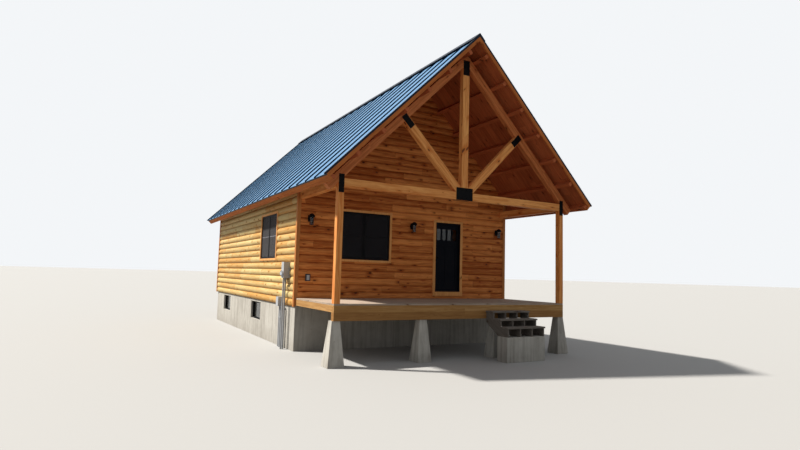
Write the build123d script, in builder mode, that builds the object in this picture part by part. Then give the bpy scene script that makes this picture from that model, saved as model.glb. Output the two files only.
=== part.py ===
from build123d import *
from math import ceil, cos, radians, sin, tan
import os

os.makedirs("parts", exist_ok=True)

# A gabled cabin with a log front, a king-post porch truss and a ribbed metal roof.
# Millimetres. X runs along the front, Y to the back, Z up. The origin is on the
# ground, under the middle of the front foundation wall.

# Foundation and floor
foundation_width = 6820
foundation_length = 9800
foundation_height = 1170
foundation_wall_thickness = 200
floor_height = 1560
floor_board_thickness = 38
floor_joist_width = 45
floor_joist_spacing = 1200

# Walls and their log siding
wall_thickness = 150
log_depth = 63
log_bulge_depth = 38
log_course_height = 192.5
siding_drop_height = 36
corner_width = 96
trim_proud_depth = 8

# Porch platform
porch_depth = 2534
post_proud_width = 10
deck_height = 1360
deck_board_thickness = 38
board_thickness = 38
rim_height = 150
beam_height = 184
joist_spacing = 600
pier_count = 4
pier_top_width = 190
pier_foot_width = 390
pier_setback_depth = 30

# Steps
steps_offset = 720
steps_width = 1210
step_height = 175
step_depth = 277
nosing_depth = 20
tread_count = 3
tread_thickness = 38
stringer_count = 4
stringer_depth = 250
stringer_inset_width = 20
steps_foot_height = 600

# Timbers of the porch truss
post_width = 140
tie_rise_height = 110
timber_depth = 190
rafter_heel_height = 50
rafter_tail_width = 322
strut_foot_width = 250
strut_angle = 45
mitre_gap = 0.5

# Steel plates of the truss
plate_thickness = 6
heel_plate_width = 130
heel_plate_drop_height = 130
heel_plate_height = 415
foot_plate_width = 500
foot_plate_height = 316
foot_plate_drop_height = 9
apex_plate_height = 390
apex_plate_drop_height = 290
strut_plate_width = 165
strut_plate_length = 350
strut_plate_lap_length = 120

# Timbers inside the cabin roof
cabin_truss_count = 2
wall_pocket_depth = 100

# Roof
roof_pitch = 45
eave_overhang_width = 520
front_overhang_length = 543
back_overhang_length = 293
purlin_width = 90
purlin_depth = 150
purlin_spacing = 586
purlin_ridge_gap = 200
roof_board_thickness = 50
fascia_height = 190
rake_board_height = 89
metal_thickness = 8
metal_overhang_width = 20
rib_height = 25
rib_base_width = 45
rib_side_angle = 68
rib_spacing = 592
rib_edge_width = 25
cap_width = 130
cap_rise_height = 22
cap_thickness = 4
trim_thickness = 4
trim_drop_height = 6
trim_lap_width = 56

# Twin sash windows
window_width = 1600
window_height = 1300
window_sill_height = 2407
window_casing_width = 60
window_frame_width = 40
window_mullion_width = 60
window_frame_depth = 140
window_recess_depth = 26
sash_rail_width = 45
sash_thickness = 35
sash_lap_height = 40
sash_gap = 2
pane_thickness = 5
front_window_x = -1535
side_window_y = 2443

# Foundation windows
basement_width = 1120
basement_height = 550
basement_sill_height = 510
basement_frame_width = 40
basement_frame_depth = 70
basement_recess_depth = 60
# How far along each side wall they stand, as shares of its length
basement_shares = (0.392, 0.82)

# Front door
door_x = 1272
door_opening_width = 888
door_opening_height = 2060
door_casing_width = 85
door_head_casing = 65
door_sill_height = 120
door_sill_depth = 30
door_frame_depth = 116
door_jamb_thickness = 20
door_stop_thickness = 12
door_stop_depth = 30
door_gap = 7
door_thickness = 45
door_stile_width = 110
door_light_count = 4
door_light_width = 145
door_light_spacing = 45
door_light_height = 340
door_top_rail_width = 154
door_middle_rail_width = 150
door_bottom_rail_width = 230
door_panel_rail_width = 110
door_panel_depth = 10

# Hinges and knobs of the door
hinge_count = 3
hinge_height = 102
hinge_inset_height = 250
hinge_plate_width = 40
hinge_plate_thickness = 3
hinge_pin_offset = 8
hinge_knuckle_radius = 6.5
hinge_knuckle_gap = 0.3
hinge_tab_width = 22
knob_height = 1010
knob_backset_width = 65
knob_reach_length = 70
knob_radius = 27
rose_radius = 32
rose_thickness = 8
knob_neck_radius = 11

# Wall lanterns
lantern_corner_width = 285
middle_lantern_x = -5
lantern_drop_height = 60
lantern_height = 300
lantern_depth = 120
lantern_hood_radius = 84
lantern_hood_height = 95
lantern_cage_radius = 56
lantern_glass_radius = 46
lantern_plate_width = 110
lantern_plate_height = 170
lantern_plate_thickness = 18
lantern_arm_radius = 9
lantern_ring_height = 12
lantern_bar_radius = 4
lantern_bar_count = 4

# Service boxes and conduits
meter_box_y = 403
meter_box_width = 200
meter_box_height = 423
meter_box_base_height = 1860
meter_box_depth = 155
small_box_y = 953
small_box_width = 200
small_box_height = 250
small_box_base_height = 1090
small_box_depth = 100
outlet_corner_width = 280
outlet_width = 75
outlet_height = 130
outlet_base_height = 1825
outlet_depth = 45
conduit_radius = 22
hub_radius = 42
hub_height = 80
conduit_offset = 45
conduit_y = 470
riser_radius = 38
riser_offset = 60
riser_y = 653
riser_height = 1080
riser_leg_radius = 30
riser_leg_drop = 50

# Places worked out from the sizes above
half_width = foundation_width / 2
front_face = -foundation_wall_thickness / 2
back_face = front_face + foundation_length
middle_y = (front_face + back_face) / 2
front_crest = front_face - log_depth
side_crest = half_width + log_depth
siding_base = foundation_height - siding_drop_height
porch_front = front_crest - porch_depth
porch_width = foundation_width + 2 * post_proud_width
half_porch = porch_width / 2
half_timber = timber_depth / 2
beam_base = deck_height - deck_board_thickness - rim_height - beam_height
rim_base = beam_base + beam_height
door_top = floor_height + door_opening_height
window_head = window_sill_height + window_height + window_casing_width
gable_course = ceil((max(door_top + door_head_casing, window_head) - siding_base) / log_course_height)
gable_base = siding_base + gable_course * log_course_height
tie_base = gable_base + tie_rise_height
tie_top = tie_base + timber_depth

# Roof surfaces, each given by its height over the ridge line
pitch_angle = radians(roof_pitch)
slope = tan(pitch_angle)
plumb = 1 / cos(pitch_angle)
rafter_under = tie_top + rafter_heel_height + (half_porch - post_width) * slope
rafter_over = rafter_under + timber_depth * plumb
boards_under = rafter_over + purlin_depth * plumb
boards_over = boards_under + roof_board_thickness * plumb
ribs_over = boards_over + (metal_thickness + rib_height) * plumb
fascia_face = half_width + eave_overhang_width
fascia_back = fascia_face - board_thickness * cos(pitch_angle)
rake_front = porch_front - front_overhang_length
rake_back = back_face + log_depth + back_overhang_length
roof_length = rake_back - rake_front

# Wall planes: x runs along the wall, y goes up and z points outwards
front_side = Plane(origin=(0, front_face, 0), x_dir=(1, 0, 0), z_dir=(0, -1, 0))
back_side = Plane(origin=(0, back_face, 0), x_dir=(-1, 0, 0), z_dir=(0, 1, 0))
left_side = Plane(origin=(-half_width, middle_y, 0), x_dir=(0, -1, 0), z_dir=(-1, 0, 0))
right_side = Plane(origin=(half_width, middle_y, 0), x_dir=(0, 1, 0), z_dir=(1, 0, 0))

window_middle = window_sill_height + window_height / 2
front_window = Plane(
    origin=(front_window_x, front_face, window_middle), x_dir=(1, 0, 0), z_dir=(0, -1, 0)
)
back_window = Plane(
    origin=(front_window_x, back_face, window_middle), x_dir=(-1, 0, 0), z_dir=(0, 1, 0)
)
left_window = Plane(
    origin=(-half_width, side_window_y, window_middle), x_dir=(0, -1, 0), z_dir=(-1, 0, 0)
)
right_window = Plane(
    origin=(half_width, side_window_y, window_middle), x_dir=(0, 1, 0), z_dir=(1, 0, 0)
)
window_planes = [front_window, back_window, left_window, right_window]

basement_middle = basement_sill_height + basement_height / 2
basement_planes = []
for basement_share in basement_shares:
    basement_y = front_face + basement_share * foundation_length
    left_light = Plane(
        origin=(-half_width, basement_y, basement_middle), x_dir=(0, -1, 0), z_dir=(-1, 0, 0)
    )
    right_light = Plane(
        origin=(half_width, basement_y, basement_middle), x_dir=(0, 1, 0), z_dir=(1, 0, 0)
    )
    basement_planes += [left_light, right_light]

door_plane = Plane(origin=(door_x, front_face, floor_height), x_dir=(1, 0, 0), z_dir=(0, -1, 0))


def across(y):
    """A plane across the building at y, with x to the right and y up."""
    return Plane.XZ.offset(-y)


def square_cut(surface, edge):
    """Where a cut square to the slope, through the boards' top at edge, meets a roof surface."""
    x = edge + (surface - boards_over) * cos(pitch_angle) * sin(pitch_angle)
    return (x, surface - x * slope)


def slope_strip(under, over, inner, outer):
    """A band of the right roof slope between two surfaces, plumb inside and square-cut outside."""
    Polygon(
        (inner, under - inner * slope),
        square_cut(under, outer),
        square_cut(over, outer),
        (inner, over - inner * slope),
        align=None,
    )


def square_strip(under, over, inner, outer):
    """A band of the right roof slope between two surfaces, with both ends square-cut."""
    Polygon(
        square_cut(under, inner),
        square_cut(under, outer),
        square_cut(over, outer),
        square_cut(over, inner),
        align=None,
    )


def gable_outline(left, right, base):
    """The face of a gable end between two uprights, from a base line up to the roof boards."""
    Polygon(
        (left, base),
        (right, base),
        (right, boards_under - abs(right) * slope),
        (0, boards_under),
        (left, boards_under - abs(left) * slope),
        align=None,
    )


def panel(left, right, base, top, mode=Mode.ADD):
    """A rectangular stretch of a wall's face."""
    with Locations(((left + right) / 2, (base + top) / 2)):
        Rectangle(right - left, top - base, mode=mode)


def log_courses(side, length):
    """Half-round log courses on the outer face of a wall, from its base to the ridge."""
    count = ceil((boards_under - siding_base) / log_course_height)
    groove = log_depth - log_bulge_depth
    top = siding_base + count * log_course_height
    section = Plane(origin=side.origin, x_dir=side.z_dir, z_dir=side.z_dir.cross(Vector(0, 0, 1)))
    with BuildSketch(section) as logs:
        with BuildLine():
            Polyline((groove, top), (0, top), (0, siding_base), (groove, siding_base))
            for course in range(count):
                bottom = siding_base + course * log_course_height
                ThreePointArc(
                    (groove, bottom),
                    (log_depth, bottom + log_course_height / 2),
                    (groove, bottom + log_course_height),
                )
        make_face()
    extrude(logs.sketch, amount=length / 2, both=True)


def cut_window(plane):
    """Cut a window through a wall, and its siding back to the casing."""
    with BuildSketch(plane) as opening:
        Rectangle(window_width, window_height)
    extrude(opening.sketch, amount=-wall_thickness, mode=Mode.SUBTRACT)
    with BuildSketch(plane) as recess:
        Rectangle(window_width + 2 * window_casing_width, window_height + 2 * window_casing_width)
    extrude(recess.sketch, amount=log_depth, mode=Mode.SUBTRACT)


# Foundation
with BuildPart() as foundation_side_walls:
    for side in (-1, 1):
        with BuildSketch():
            with Locations((side * (half_width - foundation_wall_thickness / 2), middle_y)):
                Rectangle(foundation_wall_thickness, foundation_length)
        extrude(amount=foundation_height)
    with BuildSketch(*basement_planes):
        Rectangle(basement_width, basement_height)
    extrude(amount=-foundation_wall_thickness, mode=Mode.SUBTRACT)
foundation_side_walls.part.label = "foundation_side_walls"
export_step(foundation_side_walls.part, "parts/foundation_side_walls.step")

with BuildPart() as foundation_end_walls:
    with BuildSketch():
        for end in (0, foundation_length - foundation_wall_thickness):
            with Locations((0, end)):
                Rectangle(foundation_width - 2 * foundation_wall_thickness, foundation_wall_thickness)
    extrude(amount=foundation_height)
foundation_end_walls.part.label = "foundation_end_walls"
export_step(foundation_end_walls.part, "parts/foundation_end_walls.step")

# Concrete under the porch: tapered piers and the footing that carries the steps
top_seat = deck_height - step_height - tread_thickness
foot_drop = top_seat - stringer_depth - steps_foot_height
foot_back = porch_front - foot_drop * step_depth / step_height
foot_front = porch_front - tread_count * step_depth

with BuildPart() as concrete_piers:
    pier_span = porch_width - post_width
    pier_y = porch_front + pier_setback_depth + pier_top_width / 2
    for pier in range(pier_count):
        pier_x = -pier_span / 2 + pier * pier_span / (pier_count - 1)
        with BuildSketch():
            with Locations((pier_x, pier_y)):
                Rectangle(pier_foot_width, pier_foot_width)
        with BuildSketch(Plane.XY.offset(beam_base)):
            with Locations((pier_x, pier_y)):
                Rectangle(pier_top_width, pier_top_width)
        loft()
    with BuildSketch():
        with Locations((steps_offset + steps_width / 2, (foot_front + foot_back) / 2)):
            Rectangle(steps_width, foot_back - foot_front)
    extrude(amount=steps_foot_height)
concrete_piers.part.label = "concrete_piers"
export_step(concrete_piers.part, "parts/concrete_piers.step")

# Porch platform
with BuildPart() as porch_beam:
    with BuildSketch(Plane.XY.offset(beam_base)):
        with Locations((0, porch_front + post_width / 2)):
            Rectangle(porch_width, post_width)
    extrude(amount=beam_height)
porch_beam.part.label = "porch_beam"
export_step(porch_beam.part, "parts/porch_beam.step")

with BuildPart() as porch_rims:
    with BuildSketch(Plane.XY.offset(rim_base)):
        for rim_y in (porch_front + board_thickness / 2, front_face - board_thickness / 2):
            with Locations((0, rim_y)):
                Rectangle(porch_width, board_thickness)
    extrude(amount=rim_height)
porch_rims.part.label = "porch_rims"
export_step(porch_rims.part, "parts/porch_rims.step")

joist_length = front_face - porch_front - 2 * board_thickness
joist_span = porch_width - board_thickness
joist_count = ceil(joist_span / joist_spacing) + 1

with BuildPart() as porch_joists:
    with BuildSketch(Plane.XY.offset(rim_base)):
        with Locations((0, porch_front + board_thickness + joist_length / 2)):
            with GridLocations(joist_span / (joist_count - 1), 1, joist_count, 1):
                Rectangle(board_thickness, joist_length)
    extrude(amount=rim_height)
porch_joists.part.label = "porch_joists"
export_step(porch_joists.part, "parts/porch_joists.step")

with BuildPart() as porch_deck:
    with BuildSketch(Plane.XY.offset(rim_base + rim_height)):
        with Locations((0, (porch_front + front_face) / 2)):
            Rectangle(porch_width, front_face - porch_front)
    extrude(amount=deck_board_thickness)
porch_deck.part.label = "porch_deck"
export_step(porch_deck.part, "parts/porch_deck.step")

# Steps: sawn stringers under open treads
stringer_span = steps_width - 2 * stringer_inset_width - board_thickness
stringer_outline = [(porch_front, top_seat)]
for tread in range(tread_count):
    riser_face = porch_front - (tread + 1) * step_depth
    seat = top_seat - tread * step_height
    stringer_outline += [(riser_face, seat), (riser_face, seat - step_height)]
stringer_outline[-1] = (foot_front, steps_foot_height)
stringer_outline += [(foot_back, steps_foot_height), (porch_front, top_seat - stringer_depth)]

with BuildPart() as step_stringers:
    for stringer in range(stringer_count):
        stringer_x = steps_offset + stringer_inset_width + stringer * stringer_span / (stringer_count - 1)
        with BuildSketch(Plane.YZ.offset(stringer_x)):
            with BuildLine():
                Polyline(*stringer_outline, close=True)
            make_face()
        extrude(amount=board_thickness)
step_stringers.part.label = "step_stringers"
export_step(step_stringers.part, "parts/step_stringers.step")

with BuildPart() as step_treads:
    for tread in range(tread_count):
        tread_back = porch_front - tread * step_depth
        tread_front = tread_back - step_depth - nosing_depth
        with BuildSketch(Plane.XY.offset(top_seat - tread * step_height)):
            with Locations((steps_offset + steps_width / 2, (tread_front + tread_back) / 2)):
                Rectangle(steps_width, tread_back - tread_front)
        extrude(amount=tread_thickness)
step_treads.part.label = "step_treads"
export_step(step_treads.part, "parts/step_treads.step")

# Cabin floor
inner_half_width = half_width - wall_thickness
inner_front = front_face + wall_thickness
inner_back = back_face - wall_thickness

with BuildPart() as cabin_floor:
    with BuildSketch(Plane.XY.offset(floor_height - floor_board_thickness)):
        with Locations((0, middle_y)):
            Rectangle(2 * inner_half_width, inner_back - inner_front)
    extrude(amount=floor_board_thickness)
cabin_floor.part.label = "cabin_floor"
export_step(cabin_floor.part, "parts/cabin_floor.step")

floor_span = inner_back - inner_front - floor_joist_width
floor_joist_count = ceil(floor_span / floor_joist_spacing) + 1

with BuildPart() as floor_joists:
    with BuildSketch(Plane.XY.offset(foundation_height)):
        with Locations((0, middle_y)):
            with GridLocations(1, floor_span / (floor_joist_count - 1), 1, floor_joist_count):
                Rectangle(2 * inner_half_width, floor_joist_width)
    extrude(amount=floor_height - floor_board_thickness - foundation_height)
floor_joists.part.label = "floor_joists"
export_step(floor_joists.part, "parts/floor_joists.step")

# Porch posts and the beams that tie the truss to the cabin
with BuildPart() as porch_posts:
    with BuildSketch(Plane.XY.offset(deck_height)):
        for side in (-1, 1):
            with Locations((side * (half_porch - post_width / 2), porch_front + post_width / 2)):
                Rectangle(post_width, post_width)
    extrude(amount=tie_base - deck_height)
porch_posts.part.label = "porch_posts"
export_step(porch_posts.part, "parts/porch_posts.step")

with BuildPart() as side_beams:
    with BuildSketch(Plane.XY.offset(tie_base)):
        beam_back = porch_front + post_width
        for side in (-1, 1):
            with Locations((side * (half_porch - post_width / 2), (beam_back + front_face) / 2)):
                Rectangle(post_width, front_face - beam_back)
    extrude(amount=timber_depth)
side_beams.part.label = "side_beams"
export_step(side_beams.part, "parts/side_beams.step")

# Tie beams: one over the porch posts, and those inside the cabin, let into its walls
cabin_truss_y = []
for truss in range(cabin_truss_count):
    truss_share = (truss + 1) / (cabin_truss_count + 1)
    cabin_truss_y.append(inner_front + truss_share * (inner_back - inner_front) - post_width / 2)
cabin_tie_half = inner_half_width + wall_pocket_depth

with BuildPart() as tie_beams:
    with BuildSketch(across(porch_front)):
        panel(-half_porch, half_porch, tie_base, tie_top)
    extrude(amount=-post_width)
    for truss_y in cabin_truss_y:
        with BuildSketch(across(truss_y)):
            panel(-cabin_tie_half, cabin_tie_half, tie_base, tie_top)
        extrude(amount=-post_width)
tie_beams.part.label = "tie_beams"
export_step(tie_beams.part, "parts/tie_beams.step")

# Rafters: each bears on its tie beam and is mitred at the peak. The porch pair
# is notched over the ends of the tie beam and runs on as a square-cut tail.
seat_inner = (rafter_under - tie_top) / slope
tail_x = half_porch + rafter_tail_width
tail_over = rafter_over - tail_x * slope

with BuildPart() as rafters:
    with BuildSketch(across(porch_front)):
        with BuildLine():
            Polyline(
                (mitre_gap / 2, rafter_under - mitre_gap / 2 * slope),
                (seat_inner, tie_top),
                (half_porch, tie_top),
                (half_porch, rafter_under - half_porch * slope),
                (
                    tail_x - timber_depth * sin(pitch_angle),
                    tail_over - timber_depth * cos(pitch_angle),
                ),
                (tail_x, tail_over),
                (mitre_gap / 2, rafter_over - mitre_gap / 2 * slope),
                close=True,
            )
        make_face()
        mirror(about=Plane.YZ)
    extrude(amount=-post_width)
    for truss_y in cabin_truss_y:
        with BuildSketch(across(truss_y)):
            with BuildLine():
                Polyline(
                    (mitre_gap / 2, rafter_under - mitre_gap / 2 * slope),
                    (seat_inner, tie_top),
                    (cabin_tie_half, tie_top),
                    (cabin_tie_half, rafter_over - cabin_tie_half * slope),
                    (mitre_gap / 2, rafter_over - mitre_gap / 2 * slope),
                    close=True,
                )
            make_face()
            mirror(about=Plane.YZ)
        extrude(amount=-post_width)
rafters.part.label = "rafters"
export_step(rafters.part, "parts/rafters.step")

with BuildPart() as king_post:
    with BuildSketch(across(porch_front)):
        with BuildLine():
            Polyline(
                (-half_timber, tie_top),
                (half_timber, tie_top),
                (half_timber, rafter_under - half_timber * slope),
                (0, rafter_under),
                (-half_timber, rafter_under - half_timber * slope),
                close=True,
            )
        make_face()
    extrude(amount=-post_width)
king_post.part.label = "king_post"
export_step(king_post.part, "parts/king_post.step")

# Struts from the foot of the king post to the middle of each rafter
strut_slope = tan(radians(strut_angle))
strut_rise = timber_depth / cos(radians(strut_angle))
head_reach = rafter_under - tie_top + strut_foot_width * strut_slope
head_low_x = head_reach / (slope + strut_slope)
head_high_x = (head_reach - strut_rise) / (slope + strut_slope)
foot_high = tie_top + (half_timber - strut_foot_width) * strut_slope + strut_rise

with BuildPart() as struts:
    with BuildSketch(across(porch_front)):
        with BuildLine():
            Polyline(
                (half_timber, tie_top),
                (strut_foot_width, tie_top),
                (head_low_x, rafter_under - head_low_x * slope),
                (head_high_x, rafter_under - head_high_x * slope),
                (half_timber, foot_high),
                close=True,
            )
        make_face()
        mirror(about=Plane.YZ)
    extrude(amount=-post_width)
struts.part.label = "struts"
export_step(struts.part, "parts/struts.step")

# Steel plates over the joints of the truss, on both faces where nothing butts it
plate_back = strut_plate_length / 2 - strut_plate_lap_length
strut_head_x = (head_low_x + head_high_x) / 2
strut_head_z = rafter_under - strut_head_x * slope
strut_plate_x = strut_head_x - plate_back * cos(radians(strut_angle))
strut_plate_z = strut_head_z - plate_back * sin(radians(strut_angle))
heel_plate_z = tie_base - heel_plate_drop_height + heel_plate_height / 2

with BuildPart() as truss_plates:
    for face_y in (porch_front - plate_thickness, porch_front + post_width):
        with BuildSketch(across(face_y)):
            with Locations((0, tie_base - foot_plate_drop_height + foot_plate_height / 2)):
                Rectangle(foot_plate_width, foot_plate_height)
            with Locations((0, rafter_under - apex_plate_drop_height + apex_plate_height / 2)):
                Rectangle(timber_depth, apex_plate_height)
            for side in (-1, 1):
                with Locations((side * strut_plate_x, strut_plate_z)):
                    Rectangle(strut_plate_length, strut_plate_width, rotation=side * strut_angle)
        extrude(amount=-plate_thickness)
    with BuildSketch(across(porch_front - plate_thickness)):
        for side in (-1, 1):
            with Locations((side * (half_porch - post_width / 2), heel_plate_z)):
                Rectangle(heel_plate_width, heel_plate_height)
    extrude(amount=-plate_thickness)
truss_plates.part.label = "truss_plates"
export_step(truss_plates.part, "parts/truss_plates.step")

# Purlins along both slopes, from rake to rake
last_purlin_x = square_cut(boards_under, fascia_back)[0] - purlin_width / 2 * cos(pitch_angle)
purlin_count = int((last_purlin_x - purlin_ridge_gap) / purlin_spacing) + 1

with BuildPart() as purlins:
    with BuildSketch(across(rake_front + board_thickness)):
        for purlin in range(purlin_count):
            purlin_x = last_purlin_x - purlin * purlin_spacing
            purlin_z = boards_under - purlin_x * slope
            centre_x = purlin_x - purlin_depth / 2 * sin(pitch_angle)
            centre_z = purlin_z - purlin_depth / 2 * cos(pitch_angle)
            with Locations((centre_x, centre_z)):
                Rectangle(purlin_width, purlin_depth, rotation=-roof_pitch)
        mirror(about=Plane.YZ)
    extrude(amount=-(roof_length - 2 * board_thickness))
purlins.part.label = "purlins"
export_step(purlins.part, "parts/purlins.step")

with BuildPart() as roof_boards:
    with BuildSketch(across(rake_front + board_thickness)):
        slope_strip(boards_under, boards_over, mitre_gap / 2, fascia_back)
        mirror(about=Plane.YZ)
    extrude(amount=-(roof_length - 2 * board_thickness))
roof_boards.part.label = "roof_boards"
export_step(roof_boards.part, "parts/roof_boards.step")

# Rake boards close the gable ends, fascia boards close the eaves square to the slope
rake_under = boards_over - rake_board_height * plumb

with BuildPart() as rake_boards:
    for rake_y in (rake_front, rake_back - board_thickness):
        with BuildSketch(across(rake_y)):
            slope_strip(rake_under, boards_over, mitre_gap / 2, fascia_back)
            mirror(about=Plane.YZ)
        extrude(amount=-board_thickness)
rake_boards.part.label = "rake_boards"
export_step(rake_boards.part, "parts/rake_boards.step")

with BuildPart() as fascia_boards:
    with BuildSketch(across(rake_front)):
        square_strip(boards_over - fascia_height * plumb, boards_over, fascia_back, fascia_face)
        mirror(about=Plane.YZ)
    extrude(amount=-roof_length)
fascia_boards.part.label = "fascia_boards"
export_step(fascia_boards.part, "parts/fascia_boards.step")

# Ribbed metal, laid down each slope on the boards
metal_start = mitre_gap
metal_length = (fascia_face + metal_overhang_width) * plumb - metal_start
metal_plane = Plane(
    origin=(metal_start * cos(pitch_angle), 0, boards_over - metal_start * sin(pitch_angle)),
    x_dir=(0, 1, 0),
    z_dir=(cos(pitch_angle), 0, -sin(pitch_angle)),
)
rib_count = int((roof_length - 2 * rib_edge_width) / rib_spacing) + 1
rib_places = []
for rib in range(rib_count):
    rib_places.append((rake_front + rib_edge_width + rib * rib_spacing, metal_thickness))
rib_places.append((rake_back - rib_edge_width, metal_thickness))

with BuildPart() as roof_metal:
    with BuildSketch(metal_plane):
        with Locations((rake_front + roof_length / 2, metal_thickness / 2)):
            Rectangle(roof_length, metal_thickness)
        with Locations(*rib_places):
            Trapezoid(rib_base_width, rib_height, rib_side_angle, align=(Align.CENTER, Align.MIN))
    extrude(amount=metal_length)
    mirror(about=Plane.YZ)
roof_metal.part.label = "roof_metal"
export_step(roof_metal.part, "parts/roof_metal.step")

# Ridge cap: a raised sheet with turned-down sides and closed ends
cap_under = ribs_over + cap_rise_height * plumb
cap_over = cap_under + cap_thickness * plumb
cap_front = rake_front - trim_thickness
cap_length = roof_length + 2 * trim_thickness

with BuildPart() as ridge_cap:
    with BuildSketch(across(cap_front)):
        slope_strip(cap_under, cap_over, 0, cap_width)
        square_strip(ribs_over, cap_over, cap_width - cap_thickness, cap_width)
        mirror(about=Plane.YZ)
    extrude(amount=-cap_length)
    for cap_end in (cap_front, cap_front + cap_length - cap_thickness):
        with BuildSketch(across(cap_end)):
            slope_strip(ribs_over, cap_over, 0, cap_width)
            mirror(about=Plane.YZ)
        extrude(amount=-cap_thickness)
ridge_cap.part.label = "ridge_cap"
export_step(ridge_cap.part, "parts/ridge_cap.step")

# Folded metal trims down the four rakes
metal_edge = fascia_face + metal_overhang_width
trim_over = ribs_over + trim_thickness * plumb
lap_start = square_cut(trim_over, cap_width)[0] + mitre_gap

with BuildPart() as rake_trims:
    with BuildSketch(across(rake_front - trim_thickness)):
        slope_strip(boards_over - trim_drop_height * plumb, ribs_over, mitre_gap / 2, metal_edge)
        mirror(about=Plane.YZ)
    extrude(amount=-trim_thickness)
    with BuildSketch(across(rake_front - trim_thickness)):
        slope_strip(ribs_over, trim_over, lap_start, metal_edge)
        mirror(about=Plane.YZ)
    extrude(amount=-(trim_lap_width + trim_thickness))
    mirror(about=Plane.XZ.offset(-(rake_front + rake_back) / 2))
rake_trims.part.label = "rake_trims"
export_step(rake_trims.part, "parts/rake_trims.step")

# Corner boards, L-shaped, that the log courses run up to
corner_out = log_depth + trim_proud_depth
corner_half_x = half_width + corner_out
corner_y = {-1: front_face - corner_out, 1: back_face + corner_out}

with BuildPart() as corner_boards:
    for side in (-1, 1):
        for end in (-1, 1):
            with BuildSketch(Plane.XY.offset(siding_base)):
                with Locations((side * corner_half_x, corner_y[end])):
                    Rectangle(
                        corner_width,
                        corner_width,
                        align=(
                            Align.MAX if side > 0 else Align.MIN,
                            Align.MAX if end > 0 else Align.MIN,
                        ),
                    )
                with Locations((0, middle_y)):
                    Rectangle(foundation_width, foundation_length, mode=Mode.SUBTRACT)
            extrude(amount=boards_under - siding_base)
    with BuildSketch(across(corner_y[-1])):
        gable_outline(-corner_half_x, corner_half_x, siding_base)
    extrude(amount=-(corner_y[1] - corner_y[-1]), mode=Mode.INTERSECT)
    with BuildSketch(Plane.XY.offset(siding_base)):
        with Locations((0, (porch_front + front_face) / 2)):
            Rectangle(porch_width, front_face - porch_front)
    extrude(amount=deck_height - siding_base, mode=Mode.SUBTRACT)
    add(side_beams.part, mode=Mode.SUBTRACT)
corner_boards.part.label = "corner_boards"
export_step(corner_boards.part, "parts/corner_boards.step")

# Casings that the siding stops against
with BuildPart() as window_casings:
    with BuildSketch(*window_planes):
        Rectangle(window_width + 2 * window_casing_width, window_height + 2 * window_casing_width)
        Rectangle(window_width, window_height, mode=Mode.SUBTRACT)
    extrude(amount=log_depth + trim_proud_depth)
window_casings.part.label = "window_casings"
export_step(window_casings.part, "parts/window_casings.step")

casing_half = door_opening_width / 2 + door_casing_width
casing_head = door_opening_height + door_head_casing

with BuildPart() as door_casing:
    with BuildSketch(door_plane):
        panel(-casing_half, casing_half, -door_sill_height, casing_head)
        with Locations((0, door_opening_height / 2)):
            Rectangle(door_opening_width, door_opening_height, mode=Mode.SUBTRACT)
    extrude(amount=log_depth + trim_proud_depth)
    with BuildSketch(door_plane):
        panel(-casing_half, casing_half, -door_sill_height, 0)
    extrude(amount=log_depth + door_sill_depth)
door_casing.part.label = "door_casing"
export_step(door_casing.part, "parts/door_casing.step")

# Front wall, split beside, over and under the doorway, with the gable above
door_left = door_x - door_opening_width / 2
door_right = door_x + door_opening_width / 2

with BuildPart() as front_wall_left:
    log_courses(front_side, foundation_width)
    with BuildSketch(front_side):
        panel(-half_width, door_left, deck_height, gable_base)
    extrude(amount=log_depth, mode=Mode.INTERSECT)
    with BuildSketch(front_side):
        panel(-half_width, door_left, foundation_height, gable_base)
    extrude(amount=-wall_thickness)
    cut_window(front_window)
    add(corner_boards.part, mode=Mode.SUBTRACT)
    add(door_casing.part, mode=Mode.SUBTRACT)
front_wall_left.part.label = "front_wall_left"
export_step(front_wall_left.part, "parts/front_wall_left.step")

with BuildPart() as front_wall_right:
    log_courses(front_side, foundation_width)
    with BuildSketch(front_side):
        panel(door_right, half_width, deck_height, gable_base)
    extrude(amount=log_depth, mode=Mode.INTERSECT)
    with BuildSketch(front_side):
        panel(door_right, half_width, foundation_height, gable_base)
    extrude(amount=-wall_thickness)
    add(corner_boards.part, mode=Mode.SUBTRACT)
    add(door_casing.part, mode=Mode.SUBTRACT)
front_wall_right.part.label = "front_wall_right"
export_step(front_wall_right.part, "parts/front_wall_right.step")

with BuildPart() as door_bay_wall:
    log_courses(front_side, foundation_width)
    with BuildSketch(front_side):
        panel(door_left, door_right, deck_height, gable_base)
    extrude(amount=log_depth, mode=Mode.INTERSECT)
    with BuildSketch(front_side):
        panel(door_left, door_right, foundation_height, gable_base)
    extrude(amount=-wall_thickness)
    with BuildSketch(door_plane.offset(log_depth)):
        with Locations((0, door_opening_height / 2)):
            Rectangle(door_opening_width, door_opening_height)
    extrude(amount=-(log_depth + wall_thickness), mode=Mode.SUBTRACT)
    add(door_casing.part, mode=Mode.SUBTRACT)
door_bay_wall.part.label = "door_bay_wall"
export_step(door_bay_wall.part, "parts/door_bay_wall.step")

with BuildPart() as front_gable:
    log_courses(front_side, foundation_width)
    with BuildSketch(front_side.offset(log_depth)):
        gable_outline(-half_width, half_width, gable_base)
    extrude(amount=-log_depth, mode=Mode.INTERSECT)
    with BuildSketch(front_side):
        gable_outline(-half_width, half_width, gable_base)
    extrude(amount=-wall_thickness)
    add(corner_boards.part, mode=Mode.SUBTRACT)
    add(side_beams.part, mode=Mode.SUBTRACT)
    add(purlins.part, mode=Mode.SUBTRACT)
front_gable.part.label = "front_gable"
export_step(front_gable.part, "parts/front_gable.step")

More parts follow.
